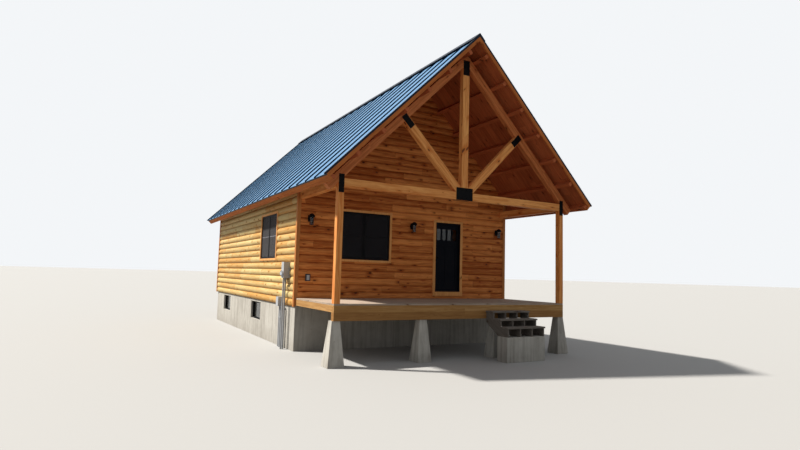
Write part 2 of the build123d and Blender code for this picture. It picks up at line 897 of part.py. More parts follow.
with BuildPart() as back_wall:
    log_courses(back_side, foundation_width)
    with BuildSketch(back_side.offset(log_depth)):
        gable_outline(-half_width, half_width, siding_base)
    extrude(amount=-log_depth, mode=Mode.INTERSECT)
    with BuildSketch(back_side):
        gable_outline(-half_width, half_width, foundation_height)
    extrude(amount=-wall_thickness)
    cut_window(back_window)
    add(corner_boards.part, mode=Mode.SUBTRACT)
    add(purlins.part, mode=Mode.SUBTRACT)
back_wall.part.label = "back_wall"
export_step(back_wall.part, "parts/back_wall.step")

# Side walls, up to the roof boards, with pockets for the purlins and cabin timbers
with BuildPart() as left_wall:
    log_courses(left_side, foundation_length)
    with BuildSketch(left_side):
        inner_reach = (inner_back - inner_front) / 2
        panel(-inner_reach, inner_reach, foundation_height, boards_under)
    extrude(amount=-wall_thickness)
    with BuildSketch(across(front_face)):
        gable_outline(-side_crest, side_crest, siding_base)
    extrude(amount=-foundation_length, mode=Mode.INTERSECT)
    cut_window(left_window)
    add(corner_boards.part, mode=Mode.SUBTRACT)
    add(purlins.part, mode=Mode.SUBTRACT)
    add(tie_beams.part, mode=Mode.SUBTRACT)
    add(rafters.part, mode=Mode.SUBTRACT)
left_wall.part.label = "left_wall"
export_step(left_wall.part, "parts/left_wall.step")

with BuildPart() as right_wall:
    mirror(left_wall.part, about=Plane.YZ)
right_wall.part.label = "right_wall"
export_step(right_wall.part, "parts/right_wall.step")

# Windows: frames with a middle post, double-hung sashes and their panes
light_width = (window_width - 2 * window_frame_width - window_mullion_width) / 2
light_x = (window_mullion_width + light_width) / 2
light_height = window_height - 2 * window_frame_width
frame_face = log_depth + trim_proud_depth - window_recess_depth
sash_height = (light_height + sash_lap_height) / 2
sash_y = (light_height - sash_height) / 2
upper_face = frame_face - window_frame_depth / 4
lower_face = upper_face - sash_thickness - sash_gap
basement_face = -basement_recess_depth
basement_light_width = basement_width - 2 * basement_frame_width
basement_light_height = basement_height - 2 * basement_frame_width

with BuildPart() as window_frames:
    with BuildSketch(*[plane.offset(frame_face) for plane in window_planes]):
        Rectangle(window_width, window_height)
        with GridLocations(2 * light_x, 1, 2, 1):
            Rectangle(light_width, light_height, mode=Mode.SUBTRACT)
    extrude(amount=-window_frame_depth)
    with BuildSketch(*[plane.offset(basement_face) for plane in basement_planes]):
        Rectangle(basement_width, basement_height)
        Rectangle(basement_light_width, basement_light_height, mode=Mode.SUBTRACT)
    extrude(amount=-basement_frame_depth)
window_frames.part.label = "window_frames"
export_step(window_frames.part, "parts/window_frames.step")

with BuildPart() as window_sashes:
    for sash_face, sash_place in ((upper_face, sash_y), (lower_face, -sash_y)):
        with BuildSketch(*[plane.offset(sash_face) for plane in window_planes]):
            with Locations((-light_x, sash_place), (light_x, sash_place)):
                Rectangle(light_width, sash_height)
                Rectangle(
                    light_width - 2 * sash_rail_width, sash_height - 2 * sash_rail_width, mode=Mode.SUBTRACT
                )
        extrude(amount=-sash_thickness)
window_sashes.part.label = "window_sashes"
export_step(window_sashes.part, "parts/window_sashes.step")

with BuildPart() as window_glass:
    pane_inset = (sash_thickness - pane_thickness) / 2
    for sash_face, sash_place in ((upper_face, sash_y), (lower_face, -sash_y)):
        with BuildSketch(*[plane.offset(sash_face - pane_inset) for plane in window_planes]):
            with Locations((-light_x, sash_place), (light_x, sash_place)):
                Rectangle(light_width - 2 * sash_rail_width, sash_height - 2 * sash_rail_width)
        extrude(amount=-pane_thickness)
    basement_inset = (basement_frame_depth - pane_thickness) / 2
    with BuildSketch(*[plane.offset(basement_face - basement_inset) for plane in basement_planes]):
        Rectangle(basement_light_width, basement_light_height)
    extrude(amount=-pane_thickness)
window_glass.part.label = "window_glass"
export_step(window_glass.part, "parts/window_glass.step")

# Door frame with its stops and threshold, level with the siding
leaf_back = log_depth - door_frame_depth
leaf_face = leaf_back + door_thickness
clear_width = door_opening_width - 2 * door_jamb_thickness
clear_height = door_opening_height - 2 * door_jamb_thickness
clear_top = door_opening_height - door_jamb_thickness
stop_half = clear_width / 2 - door_stop_thickness

with BuildPart() as door_frame:
    with BuildSketch(door_plane.offset(log_depth)):
        panel(-door_opening_width / 2, door_opening_width / 2, 0, door_opening_height)
        panel(-clear_width / 2, clear_width / 2, door_jamb_thickness, clear_top, mode=Mode.SUBTRACT)
    extrude(amount=-door_frame_depth)
    with BuildSketch(door_plane.offset(leaf_face + door_gap)):
        panel(-clear_width / 2, clear_width / 2, door_jamb_thickness, clear_top)
        panel(-stop_half, stop_half, door_jamb_thickness, clear_top - door_stop_thickness, mode=Mode.SUBTRACT)
    extrude(amount=door_stop_depth)
door_frame.part.label = "door_frame"
export_step(door_frame.part, "parts/door_frame.step")

# Door leaf with a row of lights over two sunk panels
leaf_half = clear_width / 2 - door_gap
leaf_base = door_jamb_thickness + door_gap
leaf_top = clear_top - door_gap
light_base = leaf_top - door_top_rail_width - door_light_height
door_light_pitch = door_light_width + door_light_spacing
panel_top = light_base - door_middle_rail_width
panel_base = leaf_base + door_bottom_rail_width
panel_edge = leaf_half - door_stile_width

with BuildPart() as door_leaf:
    with BuildSketch(door_plane.offset(leaf_back)):
        panel(-leaf_half, leaf_half, leaf_base, leaf_top)
        with Locations((0, light_base + door_light_height / 2)):
            with GridLocations(door_light_pitch, 1, door_light_count, 1):
                Rectangle(door_light_width, door_light_height, mode=Mode.SUBTRACT)
    extrude(amount=door_thickness)
    for sunk_from, sunk_depth in ((leaf_back, door_panel_depth), (leaf_face, -door_panel_depth)):
        with BuildSketch(door_plane.offset(sunk_from)):
            panel(-panel_edge, -door_panel_rail_width / 2, panel_base, panel_top)
            panel(door_panel_rail_width / 2, panel_edge, panel_base, panel_top)
        extrude(amount=sunk_depth, mode=Mode.SUBTRACT)
door_leaf.part.label = "door_leaf"
export_step(door_leaf.part, "parts/door_leaf.step")

with BuildPart() as door_glass:
    with BuildSketch(door_plane.offset(leaf_back + (door_thickness - pane_thickness) / 2)):
        with Locations((0, light_base + door_light_height / 2)):
            with GridLocations(door_light_pitch, 1, door_light_count, 1):
                Rectangle(door_light_width, door_light_height)
    extrude(amount=pane_thickness)
door_glass.part.label = "door_glass"
export_step(door_glass.part, "parts/door_glass.step")

# Hinges on the inner face: one knuckle on the leaf between two on the frame
pin_x = door_x + clear_width / 2 - door_gap / 2
hinge_face = front_face - leaf_back
pin_y = hinge_face + hinge_pin_offset
knuckle_height = hinge_height / 3
hinge_span = leaf_top - leaf_base - 2 * hinge_inset_height
hinge_bases = []
for hinge in range(hinge_count):
    hinge_middle = floor_height + leaf_base + hinge_inset_height + hinge * hinge_span / (hinge_count - 1)
    hinge_bases.append(hinge_middle - hinge_height / 2)

with BuildPart() as frame_hinges:
    for hinge_base in hinge_bases:
        for knuckle_base in (hinge_base, hinge_base + 2 * knuckle_height):
            with BuildSketch(Plane.XY.offset(knuckle_base)):
                with Locations((pin_x, pin_y)):
                    Circle(hinge_knuckle_radius)
                panel(pin_x, pin_x + hinge_tab_width, hinge_face, hinge_face + hinge_plate_thickness)
            extrude(amount=knuckle_height)
frame_hinges.part.label = "frame_hinges"
export_step(frame_hinges.part, "parts/frame_hinges.step")

knob_x = door_x - leaf_half + knob_backset_width
knob_z = floor_height + knob_height

with BuildPart() as door_fittings:
    for hinge_base in hinge_bases:
        with BuildSketch(Plane.XY.offset(hinge_base + knuckle_height + hinge_knuckle_gap)):
            with Locations((pin_x, pin_y)):
                Circle(hinge_knuckle_radius)
            panel(pin_x - hinge_plate_width, pin_x, hinge_face, hinge_face + hinge_plate_thickness)
        extrude(amount=knuckle_height - 2 * hinge_knuckle_gap)
    for knob_side, knob_face in ((1, leaf_face), (-1, leaf_back)):
        with BuildSketch(door_plane.offset(knob_face)):
            with Locations((knob_x - door_x, knob_height)):
                Circle(rose_radius)
        extrude(amount=knob_side * rose_thickness)
        with BuildSketch(door_plane.offset(knob_face)):
            with Locations((knob_x - door_x, knob_height)):
                Circle(knob_neck_radius)
        extrude(amount=knob_side * (knob_reach_length - knob_radius))
        knob_y = front_face - knob_face - knob_side * (knob_reach_length - knob_radius)
        with Locations((knob_x, knob_y, knob_z)):
            Sphere(knob_radius)
door_fittings.part.label = "door_fittings"
export_step(door_fittings.part, "parts/door_fittings.step")

# Wall lanterns: a plate scribed to the logs, an arm, a domed hood and a cage
corner_lantern_x = half_width - lantern_corner_width
lantern_places = (-corner_lantern_x, middle_lantern_x, corner_lantern_x)
lantern_y = front_face - log_depth - lantern_depth
lantern_base = door_top - lantern_drop_height - lantern_height
hood_base = lantern_base + lantern_height - lantern_hood_height
arm_height = hood_base + lantern_ring_height
groove_depth = log_depth - log_bulge_depth
bar_circle = (lantern_cage_radius + lantern_glass_radius) / 2

with BuildPart() as wall_lanterns:
    for x in lantern_places:
        with BuildSketch(front_side.offset(groove_depth)):
            with Locations((x, arm_height - lantern_plate_height / 4)):
                Rectangle(lantern_plate_width, lantern_plate_height)
        extrude(amount=log_bulge_depth + lantern_plate_thickness)
        with BuildSketch(front_side.offset(log_depth)):
            with Locations((x, arm_height)):
                Circle(lantern_arm_radius)
        extrude(amount=lantern_depth)
        with BuildSketch(across(lantern_y)):
            with BuildLine():
                Polyline((x, hood_base + lantern_hood_height), (x, hood_base))
                Line((x, hood_base), (x + lantern_hood_radius, hood_base))
                RadiusArc(
                    (x + lantern_hood_radius, hood_base),
                    (x, hood_base + lantern_hood_height),
                    -lantern_hood_height,
                )
            make_face()
        revolve(axis=Axis((x, lantern_y, 0), (0, 0, 1)))
        with BuildSketch(Plane.XY.offset(lantern_base)):
            with Locations((x, lantern_y)):
                Circle(lantern_cage_radius)
        extrude(amount=lantern_ring_height)
        with BuildSketch(Plane.XY.offset(lantern_base)):
            with Locations((x, lantern_y)):
                with PolarLocations(bar_circle, lantern_bar_count):
                    Circle(lantern_bar_radius)
        extrude(amount=hood_base - lantern_base)
    add(front_wall_left.part, mode=Mode.SUBTRACT)
    add(front_wall_right.part, mode=Mode.SUBTRACT)
wall_lanterns.part.label = "wall_lanterns"
export_step(wall_lanterns.part, "parts/wall_lanterns.step")

with BuildPart() as lantern_glass:
    with BuildSketch(Plane.XY.offset(lantern_base + lantern_ring_height)):
        for x in lantern_places:
            with Locations((x, lantern_y)):
                Circle(lantern_glass_radius)
    extrude(amount=hood_base - lantern_base - lantern_ring_height)
lantern_glass.part.label = "lantern_glass"
export_step(lantern_glass.part, "parts/lantern_glass.step")

# Service boxes scribed to the logs, with the conduit and the riser on the left side
conduit_x = -half_width - log_depth - conduit_offset
riser_x = -half_width - riser_offset
left_face = Plane.YZ.offset(-half_width)

with BuildPart() as service_boxes:
    with BuildSketch(left_face):
        with Locations((meter_box_y, meter_box_base_height + meter_box_height / 2)):
            Rectangle(meter_box_width, meter_box_height)
    extrude(amount=-(log_depth + meter_box_depth))
    with BuildSketch(left_face):
        with Locations((small_box_y, small_box_base_height + small_box_height / 2)):
            Rectangle(small_box_width, small_box_height)
    extrude(amount=-(log_depth + small_box_depth))
    with BuildSketch(front_side):
        with Locations((outlet_corner_width - half_width, outlet_base_height + outlet_height / 2)):
            Rectangle(outlet_width, outlet_height)
    extrude(amount=log_depth + outlet_depth)
    with BuildSketch():
        with Locations((conduit_x, conduit_y)):
            Circle(conduit_radius)
    extrude(amount=meter_box_base_height)
    with Locations((conduit_x, conduit_y, meter_box_base_height - hub_height / 2)):
        Cone(conduit_radius, hub_radius, hub_height)
    with BuildSketch():
        with Locations((riser_x, riser_y)):
            Circle(riser_radius)
    extrude(amount=riser_height)
    with BuildSketch(left_face):
        with Locations((riser_y, riser_height - riser_leg_drop)):
            Circle(riser_leg_radius)
    extrude(amount=-riser_offset)
    add(left_wall.part, mode=Mode.SUBTRACT)
    add(front_wall_left.part, mode=Mode.SUBTRACT)
service_boxes.part.label = "service_boxes"
export_step(service_boxes.part, "parts/service_boxes.step")
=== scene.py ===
"""The log cabin as it looks: its finishes, small fittings, studio and camera."""

import logging
import math
from dataclasses import dataclass, field
from enum import Enum
from functools import cache, reduce
from typing import Any

import bpy
import numpy as np
from mathutils import Matrix, Vector


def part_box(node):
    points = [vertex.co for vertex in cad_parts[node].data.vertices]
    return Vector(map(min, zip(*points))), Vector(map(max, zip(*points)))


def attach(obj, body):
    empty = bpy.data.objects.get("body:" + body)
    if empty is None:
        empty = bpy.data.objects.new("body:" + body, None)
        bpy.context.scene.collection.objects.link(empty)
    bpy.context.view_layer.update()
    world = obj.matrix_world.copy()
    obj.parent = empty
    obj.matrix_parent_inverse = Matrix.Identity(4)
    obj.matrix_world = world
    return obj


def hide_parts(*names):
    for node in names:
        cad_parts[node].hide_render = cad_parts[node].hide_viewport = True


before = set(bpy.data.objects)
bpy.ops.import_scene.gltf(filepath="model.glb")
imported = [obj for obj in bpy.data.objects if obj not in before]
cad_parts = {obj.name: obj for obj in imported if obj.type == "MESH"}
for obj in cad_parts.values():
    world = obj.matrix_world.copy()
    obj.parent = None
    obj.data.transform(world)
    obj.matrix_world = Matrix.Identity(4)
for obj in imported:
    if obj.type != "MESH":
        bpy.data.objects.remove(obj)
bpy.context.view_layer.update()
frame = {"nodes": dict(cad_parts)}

LOG = logging.getLogger("cabin")
Colour = tuple[float, float, float]
Triple = tuple[float, float, float]
Pair = tuple[float, float]
Grid = tuple[Pair, tuple[int, int]]
Shape = tuple[np.ndarray, list[list[int]]]
Options = dict[str, Any]
Material = bpy.types.Material
Tree = bpy.types.NodeTree
Node = bpy.types.Node
Socket = bpy.types.NodeSocket

# Lines that the finishes and the fittings share, in metres
SIDING_BASE = 1.134
LOG_COURSE = 0.1925
HALF_WIDTH = 3.41
FRONT_FACE = -0.1
THINNEST_SEAM = 0.002
# The sine of the roof's slope and of the struts'
SLOPE = 0.7071
# What a Mix node has between its factor and its two colours, and its colour output
MIX_GAP = (None,) * 5
MIX_OUTPUT = 2
FLAT_CELLS = {"voronoi_dimensions": "2D"}


@dataclass
class Nodes:
    """A node tree, with one short call for each kind of node that the finishes use."""

    tree: Tree

    def feed(self, socket: Socket, value: Any) -> None:
        """Link a socket to another one, or write a plain value on it.

        Args:
            socket: The input to feed.
            value: A socket, a number, or a tuple of three.
        """
        if isinstance(value, Socket):
            self.tree.links.new(value, socket)
        elif socket.type == "RGBA" and len(value) == 3:
            socket.default_value = (*value, 1.0)
        else:
            socket.default_value = value

    def fill(self, node: Node, *values: Any, **inputs: Any) -> Node:
        """Feed a node's inputs.

        Args:
            node: The node.
            values: What feeds its inputs in order; None leaves one as it is.
            inputs: What feeds its inputs by name, where an underscore stands for a space.

        Returns:
            The same node.
        """
        for socket, value in zip(node.inputs, values):
            if value is not None:
                self.feed(socket, value)
        for key, value in inputs.items():
            self.feed(node.inputs[key.replace("_", " ")], value)
        return node

    def node(self, kind: str, *values: Any, options: Options | None = None, **inputs: Any) -> Node:
        """Add a node, set its options and feed its inputs.

        Args:
            kind: The node's type, without the word ShaderNode.
            values: What feeds its inputs in order.
            options: The node's options.
            inputs: What feeds its inputs by name.

        Returns:
            The new node.
        """
        made = self.tree.nodes.new(f"ShaderNode{kind}")
        for key, value in (options or {}).items():
            setattr(made, key, value)
        return self.fill(made, *values, **inputs)

    def math(self, operation: str, *values: Any) -> Socket:
        """One sum on numbers."""
        return self.node("Math", *values, options={"operation": operation}).outputs[0]

    def times(self, first: Any, second: Any) -> Socket:
        """The product of two numbers."""
        return self.math("MULTIPLY", first, second)

    def vector(self, operation: str, *values: Any) -> Socket:
        """One sum on vectors: its vector, or its number where it is a dot product."""
        made = self.node("VectorMath", *values, options={"operation": operation})
        return made.outputs["Value" if operation == "DOT_PRODUCT" else "Vector"]

    def split(self, vector: Any) -> tuple[Socket, ...]:
        """The three numbers of a vector."""
        return tuple(self.node("SeparateXYZ", Vector=vector).outputs)

    def join(self, x: Any, y: Any = 0.0, z: Any = 0.0) -> Socket:
        """A vector made of three numbers."""
        return self.node("CombineXYZ", X=x, Y=y, Z=z).outputs[0]

    def here(self) -> Socket:
        """The place of a point on its object."""
        return self.node("TexCoord").outputs["Object"]

    def noise(self, vector: Any, scale: Any, detail: float = 3.0, rough: float = 0.55) -> Socket:
        """Soft noise between 0 and 1."""
        made = self.node("TexNoise", Vector=vector, Scale=scale, Detail=detail, Roughness=rough)
        return made.outputs[0]

    def white(self, vector: Any) -> Socket:
        """One random number for each whole step of a vector."""
        made = self.node("TexWhiteNoise", options={"noise_dimensions": "3D"}, Vector=vector)
        return made.outputs["Value"]

    def ease(self, value: Any, low: Any, high: Any, start: float = 0.0, end: float = 1.0) -> Socket:
        """Carry a number smoothly from the range low to high into the range start to end."""
        options = {"interpolation_type": "SMOOTHSTEP"}
        return self.node("MapRange", value, low, high, start, end, options=options).outputs[0]

    def mix(self, factor: Any, first: Any, second: Any) -> Socket:
        """The first colour where the factor is 0, the second where it is 1."""
        made = self.node("Mix", factor, *MIX_GAP, first, second, options={"data_type": "RGBA"})
        return made.outputs[MIX_OUTPUT]

    def group(self, tree: Tree, **inputs: Any) -> Any:
        """The outputs of a node group, with its inputs fed by name."""
        return self.node("Group", options={"node_tree": tree}, **inputs).outputs

    def total(self, base: Any, *parts: tuple[Any, float]) -> Socket:
        """A base plus parts, each of which comes with its weight."""
        return reduce(lambda so_far, part: self.math("MULTIPLY_ADD", *part, so_far), parts, base)

    def bump(self, height: Any, distance: float = 1.0) -> Socket:
        """A normal bent by a height given in parts of a distance in metres."""
        return self.node("Bump", Height=height, Distance=distance, Strength=1.0).outputs[0]


def blank(name: str) -> tuple[Material, Nodes, Node]:
    """Begin a material.

    Args:
        name: The material's name.

    Returns:
        The material, its nodes and its shader.
    """
    made = bpy.data.materials.new(name)
    made.use_nodes = True
    return made, Nodes(made.node_tree), made.node_tree.nodes["Principled BSDF"]


class Effects:
    """Shader groups that several finishes share, each made once."""

    def __init__(self) -> None:
        """Make every group."""
        self.boards = self._boards()
        self.grain = self._grain()
        self.knots = self._knots()
        self.weather = self._weather()

    @staticmethod
    def _start(name: str, inputs: str, outputs: str) -> tuple[Nodes, Any, Node]:
        """Begin a group.

        Args:
            name: The group's name.
            inputs: The numbers that it takes, by name, and the vector where a name is Vector.
            outputs: The numbers that it puts out, by name.

        Returns:
            The group's nodes, its input sockets and the node that takes its outputs.
        """
        tree = bpy.data.node_groups.new(name, "ShaderNodeTree")
        for key in inputs.split():
            kind = "NodeSocketVector" if key == "Vector" else "NodeSocketFloat"
            tree.interface.new_socket(key, in_out="INPUT", socket_type=kind)
        for key in outputs.split():
            tree.interface.new_socket(key, in_out="OUTPUT", socket_type="NodeSocketFloat")
        entry, leave = (tree.nodes.new(f"NodeGroup{end}") for end in ("Input", "Output"))
        return Nodes(tree), entry.outputs, leave

    def _boards(self) -> Tree:
        """Rows of boards with staggered ends: a tone for each board, its seams and its edges.

        A row is the whole part of across divided by the width. Each row is shifted by a random
        share of the length, and a board is the whole part of along divided by the length. A seam
        fades out over its width from the board's nearest edge or end. Near is the distance in
        metres to the board's nearest edge.

        Returns:
            The group.
        """
        n, entry, leave = self._start(
            "board rows", "Along Across Width Length Seam", "Tone Edge End Near"
        )
        rows = n.math("DIVIDE", entry["Across"], entry["Width"])
        row = n.math("FLOOR", rows)
        shift = n.white(n.join(row, 3.7))
        runs = n.math("ADD", n.math("DIVIDE", entry["Along"], entry["Length"]), shift)
        run = n.math("FLOOR", runs)
        near = []
        for count, size in ((rows, entry["Width"]), (runs, entry["Length"])):
            share = n.math("FRACT", count)
            nearest = n.math("MINIMUM", share, n.math("SUBTRACT", 1.0, share))
            near.append(n.times(nearest, size))
        edge, end = (n.ease(metres, 0.0, entry["Seam"], 1.0, 0.0) for metres in near)
        n.fill(leave, Tone=n.white(n.join(row, run, 1.3)), Edge=edge, End=end, Near=near[0])
        return n.tree

    def _grain(self) -> Tree:
        """Growth rings, fibres and mottling: noise drawn out along the first axis of the vector.

        The rings are a sine of broad noise, so that they follow its level lines as cut growth
        rings do. The fibres are fine noise drawn out forty times, and the mottling is coarse
        noise drawn out fifteen times and eased, where the stain has taken deeper.

        Returns:
            The group.
        """
        n, entry, leave = self._start("timber grain", "Vector Seed", "Rings Fibre Mottle")
        aside, up = (n.times(entry["Seed"], step) for step in (31.0, 17.0))
        moved = n.vector("ADD", entry["Vector"], n.join(aside, up))
        broad = n.noise(n.vector("MULTIPLY", moved, (0.5, 5.0, 5.0)), 1.0, 2.0)
        rings = n.math("SINE", n.times(broad, 70.0))
        fibre = n.noise(n.vector("MULTIPLY", moved, (4.0, 160.0, 160.0)), 1.0, 3.0)
        mottle = n.noise(n.vector("MULTIPLY", moved, (1.3, 19.0, 19.0)), 1.0, 3.0, 0.6)
        n.fill(
            leave, Rings=n.math("MULTIPLY_ADD", rings, 0.5, 0.5), Fibre=fibre,
            Mottle=n.ease(mottle, 0.34, 0.66),
        )
        return n.tree

    def _knots(self) -> Tree:
        """Knots: spots at scattered points, each with a random size, drawn out along the grain.

        Returns:
            The group.
        """
        n, entry, leave = self._start("knots", "Vector Spacing Size", "Knot Halo")
        squeezed = n.vector("MULTIPLY", entry["Vector"], (0.45, 1.0, 0.0))
        cells = n.math("DIVIDE", 1.0, entry["Spacing"])
        spots = n.node("TexVoronoi", options=FLAT_CELLS, Vector=squeezed, Scale=cells)
        metres = n.times(spots.outputs["Distance"], entry["Spacing"])
        chance = n.split(spots.outputs["Color"])[0]
        radius = n.times(entry["Size"], n.ease(chance, 0.35, 1.0, 0.0, 1.0))
        away = n.math("DIVIDE", metres, n.math("MAXIMUM", radius, 0.0001))
        knot, halo = n.ease(away, 0.45, 1.0, 1.0, 0.0), n.ease(away, 0.8, 3.0, 1.0, 0.0)
        n.fill(leave, Knot=knot, Halo=halo)
        return n.tree

    def _weather(self) -> Tree:
        """Weathering: broad patches, and streaks that run down.

        Returns:
            The group.
        """
        n, entry, leave = self._start("weathering", "Vector Scale", "Patches Streaks")
        patches = n.noise(entry["Vector"], entry["Scale"], 4.0, 0.6)
        drawn = n.vector("MULTIPLY", entry["Vector"], (9.0, 9.0, 0.5))
        streaks = n.noise(drawn, entry["Scale"], 3.0, 0.6)
        n.fill(leave, Patches=n.ease(patches, 0.38, 0.66), Streaks=n.ease(streaks, 0.42, 0.66))
        return n.tree


EFFECTS = Effects()


class Run(Enum):
    """The grain's direction, the direction across it, and whether both halves in X are alike."""

    ALONG_X = ((1, 0, 0), (0, 0, 1), False)
    ALONG_X_FLAT = ((1, 0, 0), (0, 1, 0), False)
    ALONG_Y = ((0, 1, 0), (0, 0, 1), False)
    ALONG_Y_FLAT = ((0, 1, 0), (1, 0, 0), False)
    UPRIGHT = ((0, 0, 1), (1, 1, 0), False)
    DOWN_SLOPE = ((SLOPE, 0, -SLOPE), (SLOPE, 0, SLOPE), True)
    DOWN_SLOPE_BOARDS = ((SLOPE, 0, -SLOPE), (0, 1, 0), True)
    UP_STRUT = ((SLOPE, 0, SLOPE), (SLOPE, 0, -SLOPE), True)
    STAIR = ((0, 0.845, 0.534), (0, -0.534, 0.845), False)


@dataclass(frozen=True)
class Timber:
    """A stained or weathered timber; its boards, seams, knots and heights are in metres.

    How deep its colour is starts at the base. Tone, mottle, rings, fibre, patches and halo are
    the weights of what adds to it.
    """

    name: str
    pale: Colour
    deep: Colour
    run: Run
    knot: Colour = (0.07, 0.024, 0.009)
    width: float = 4.0
    length: float = 6.0
    start: float = 0.0
    seam: float = 0.0
    # How far a seam darkens: dark joints, with painted shade in the groove
    seam_stain_and_shade: float = 0.75
    # How much deeper the colour is near a board's edges: pooled stain, and painted shade of the
    # log's curve
    edge_stain_and_shade: float = 0.0
    tone: float = 0.45
    mottle: float = 0.35
    knot_spacing: float = 0.24
    knot_size: float = 0.026
    rough: float = 0.6
    gloss: float = 0.10
    grey: Colour = (0.30, 0.27, 0.24)
    worn: float = 0.0
    hewn: float = 0.0
    rings: float = 0.2
    fibre: float = 0.5
    patches: float = 0.12
    halo: float = 0.5
    base: float = 0.12
    ring_height: float = 0.0004
    fibre_height: float = 0.0006
    joint_height: float = -0.0015
    edge_stain_and_shade_width: float = 0.05
    knot_cover: float = 0.85

    def material(self) -> Material:
        """The timber's material.

        Returns:
            A material whose colour, roughness and bump follow boards, grain, knots and wear.
        """
        made, n, shader = blank(self.name)
        here = n.here()
        grain, across, folded = self.run.value
        if folded:
            x, y, z = n.split(here)
            here = n.join(n.math("ABSOLUTE", x), y, z)
        third = tuple(Vector(grain).cross(Vector(across)))
        u, v, w = (n.vector("DOT_PRODUCT", here, way) for way in (grain, across, third))
        along, v = n.math("ADD", u, w), n.math("SUBTRACT", v, self.start)
        rows = n.group(
            EFFECTS.boards, Along=along, Across=v, Width=self.width, Length=self.length,
            Seam=max(self.seam, THINNEST_SEAM),
        )
        tone, local = rows["Tone"], n.join(along, v, w)
        lines = n.group(EFFECTS.grain, Vector=local, Seed=tone)
        rings, fibre, mottle = (lines[key] for key in ("Rings", "Fibre", "Mottle"))
        aside = n.join(n.times(tone, 9.0), n.times(w, 0.7))
        spots = n.group(
            EFFECTS.knots, Vector=n.vector("ADD", local, aside), Spacing=self.knot_spacing,
            Size=self.knot_size,
        )
        patches = n.group(EFFECTS.weather, Vector=here, Scale=0.9)["Patches"]
        depth = n.total(
            self.base - (self.tone + self.mottle) / 2, (tone, self.tone), (mottle, self.mottle),
            (rings, self.rings), (fibre, self.fibre), (patches, self.patches),
            (spots["Halo"], self.halo),
        )
        # Pooled stain and painted shade of the log's curve: the colour deepens near each board's
        # edge
        if self.edge_stain_and_shade > 0:
            edge_stain_and_shade = n.ease(rows["Near"], 0.0, self.edge_stain_and_shade_width, 1.0, 0.0)
            depth = n.total(depth, (edge_stain_and_shade, self.edge_stain_and_shade))
        colour = n.mix(depth, self.pale, self.deep)
        if self.worn > 0:
            faded = n.times(n.math("MAXIMUM", patches, fibre), self.worn)
            colour = n.mix(faded, colour, self.grey)
        colour = n.mix(n.times(spots["Knot"], self.knot_cover), colour, self.knot)
        height = n.total(0.0, (fibre, self.fibre_height), (rings, self.ring_height))
        if self.seam > 0:
            # Dark joints with painted shade in the groove: each seam darkens towards the knot
            # colour
            joints = n.math("MAXIMUM", rows["Edge"], n.times(rows["End"], 0.6))
            colour = n.mix(n.times(joints, self.seam_stain_and_shade), colour, self.knot)
            height = n.total(height, (joints, self.joint_height))
        if self.hewn > 0:
            strokes = n.noise(n.vector("MULTIPLY", local, (2.2, 9.0, 9.0)), 1.0, 2.0)
            height = n.total(height, (strokes, self.hewn))
        n.fill(
            shader, Base_Color=colour, Roughness=n.total(self.rough - 0.12, (fibre, 0.25)),
            Specular_IOR_Level=self.gloss, Normal=n.bump(height),
        )
        return made


@dataclass(frozen=True)
class Concrete:
    """Cast concrete, with the marks of its forms; damp is how high it reaches and its weight."""

    name: str
    pale: Colour
    deep: Colour
    panel: float = 0.61
    lift: float = 0.55
    base: float = -0.03
    patches: float = 0.25
    mottle: float = 0.6
    streaks: float = 0.45
    tone: float = 0.18
    damp: Pair = (0.45, -0.25)
    marks: float = 0.45
    pore_height: float = 0.0012
    mark_height: float = -0.003

    def material(self) -> Material:
        """The concrete's material.

        Returns:
            A material with panel joints, tie holes, pores, streaks and damp at its foot.
        """
        made, n, shader = blank(self.name)
        here = n.here()
        x, y, z = n.split(here)
        along = n.math("ADD", x, y)
        forms = n.group(
            EFFECTS.boards, Along=z, Across=along, Width=self.panel, Length=40.0, Seam=0.006
        )
        wear = n.group(EFFECTS.weather, Vector=here, Scale=1.3)
        places = n.join(n.math("DIVIDE", along, self.panel), n.math("DIVIDE", z, self.lift))
        ties = n.node("TexVoronoi", options=FLAT_CELLS, Vector=places, Randomness=0.0, Scale=1.0)
        holes = n.ease(ties.outputs["Distance"], 0.02, 0.045, 1.0, 0.0)
        pores = n.noise(here, 90.0, 4.0, 0.7)
        fine = n.noise(here, 7.0, 5.0, 0.65)
        reach, weight = self.damp
        depth = n.total(
            self.base, (wear["Patches"], self.patches), (fine, self.mottle),
            (wear["Streaks"], self.streaks), (forms["Tone"], self.tone),
            (n.ease(z, 0.0, reach), weight),
        )
        colour = n.mix(depth, self.pale, self.deep)
        marks = n.math("MAXIMUM", n.times(forms["Edge"], 0.5), holes)
        n.fill(
            shader, Base_Color=n.mix(n.times(marks, self.marks), colour, self.deep),
            Roughness=n.total(0.75, (fine, 0.2)), Specular_IOR_Level=0.15,
            Normal=n.bump(n.total(0.0, (pores, self.pore_height), (marks, self.mark_height))),
        )
        return made


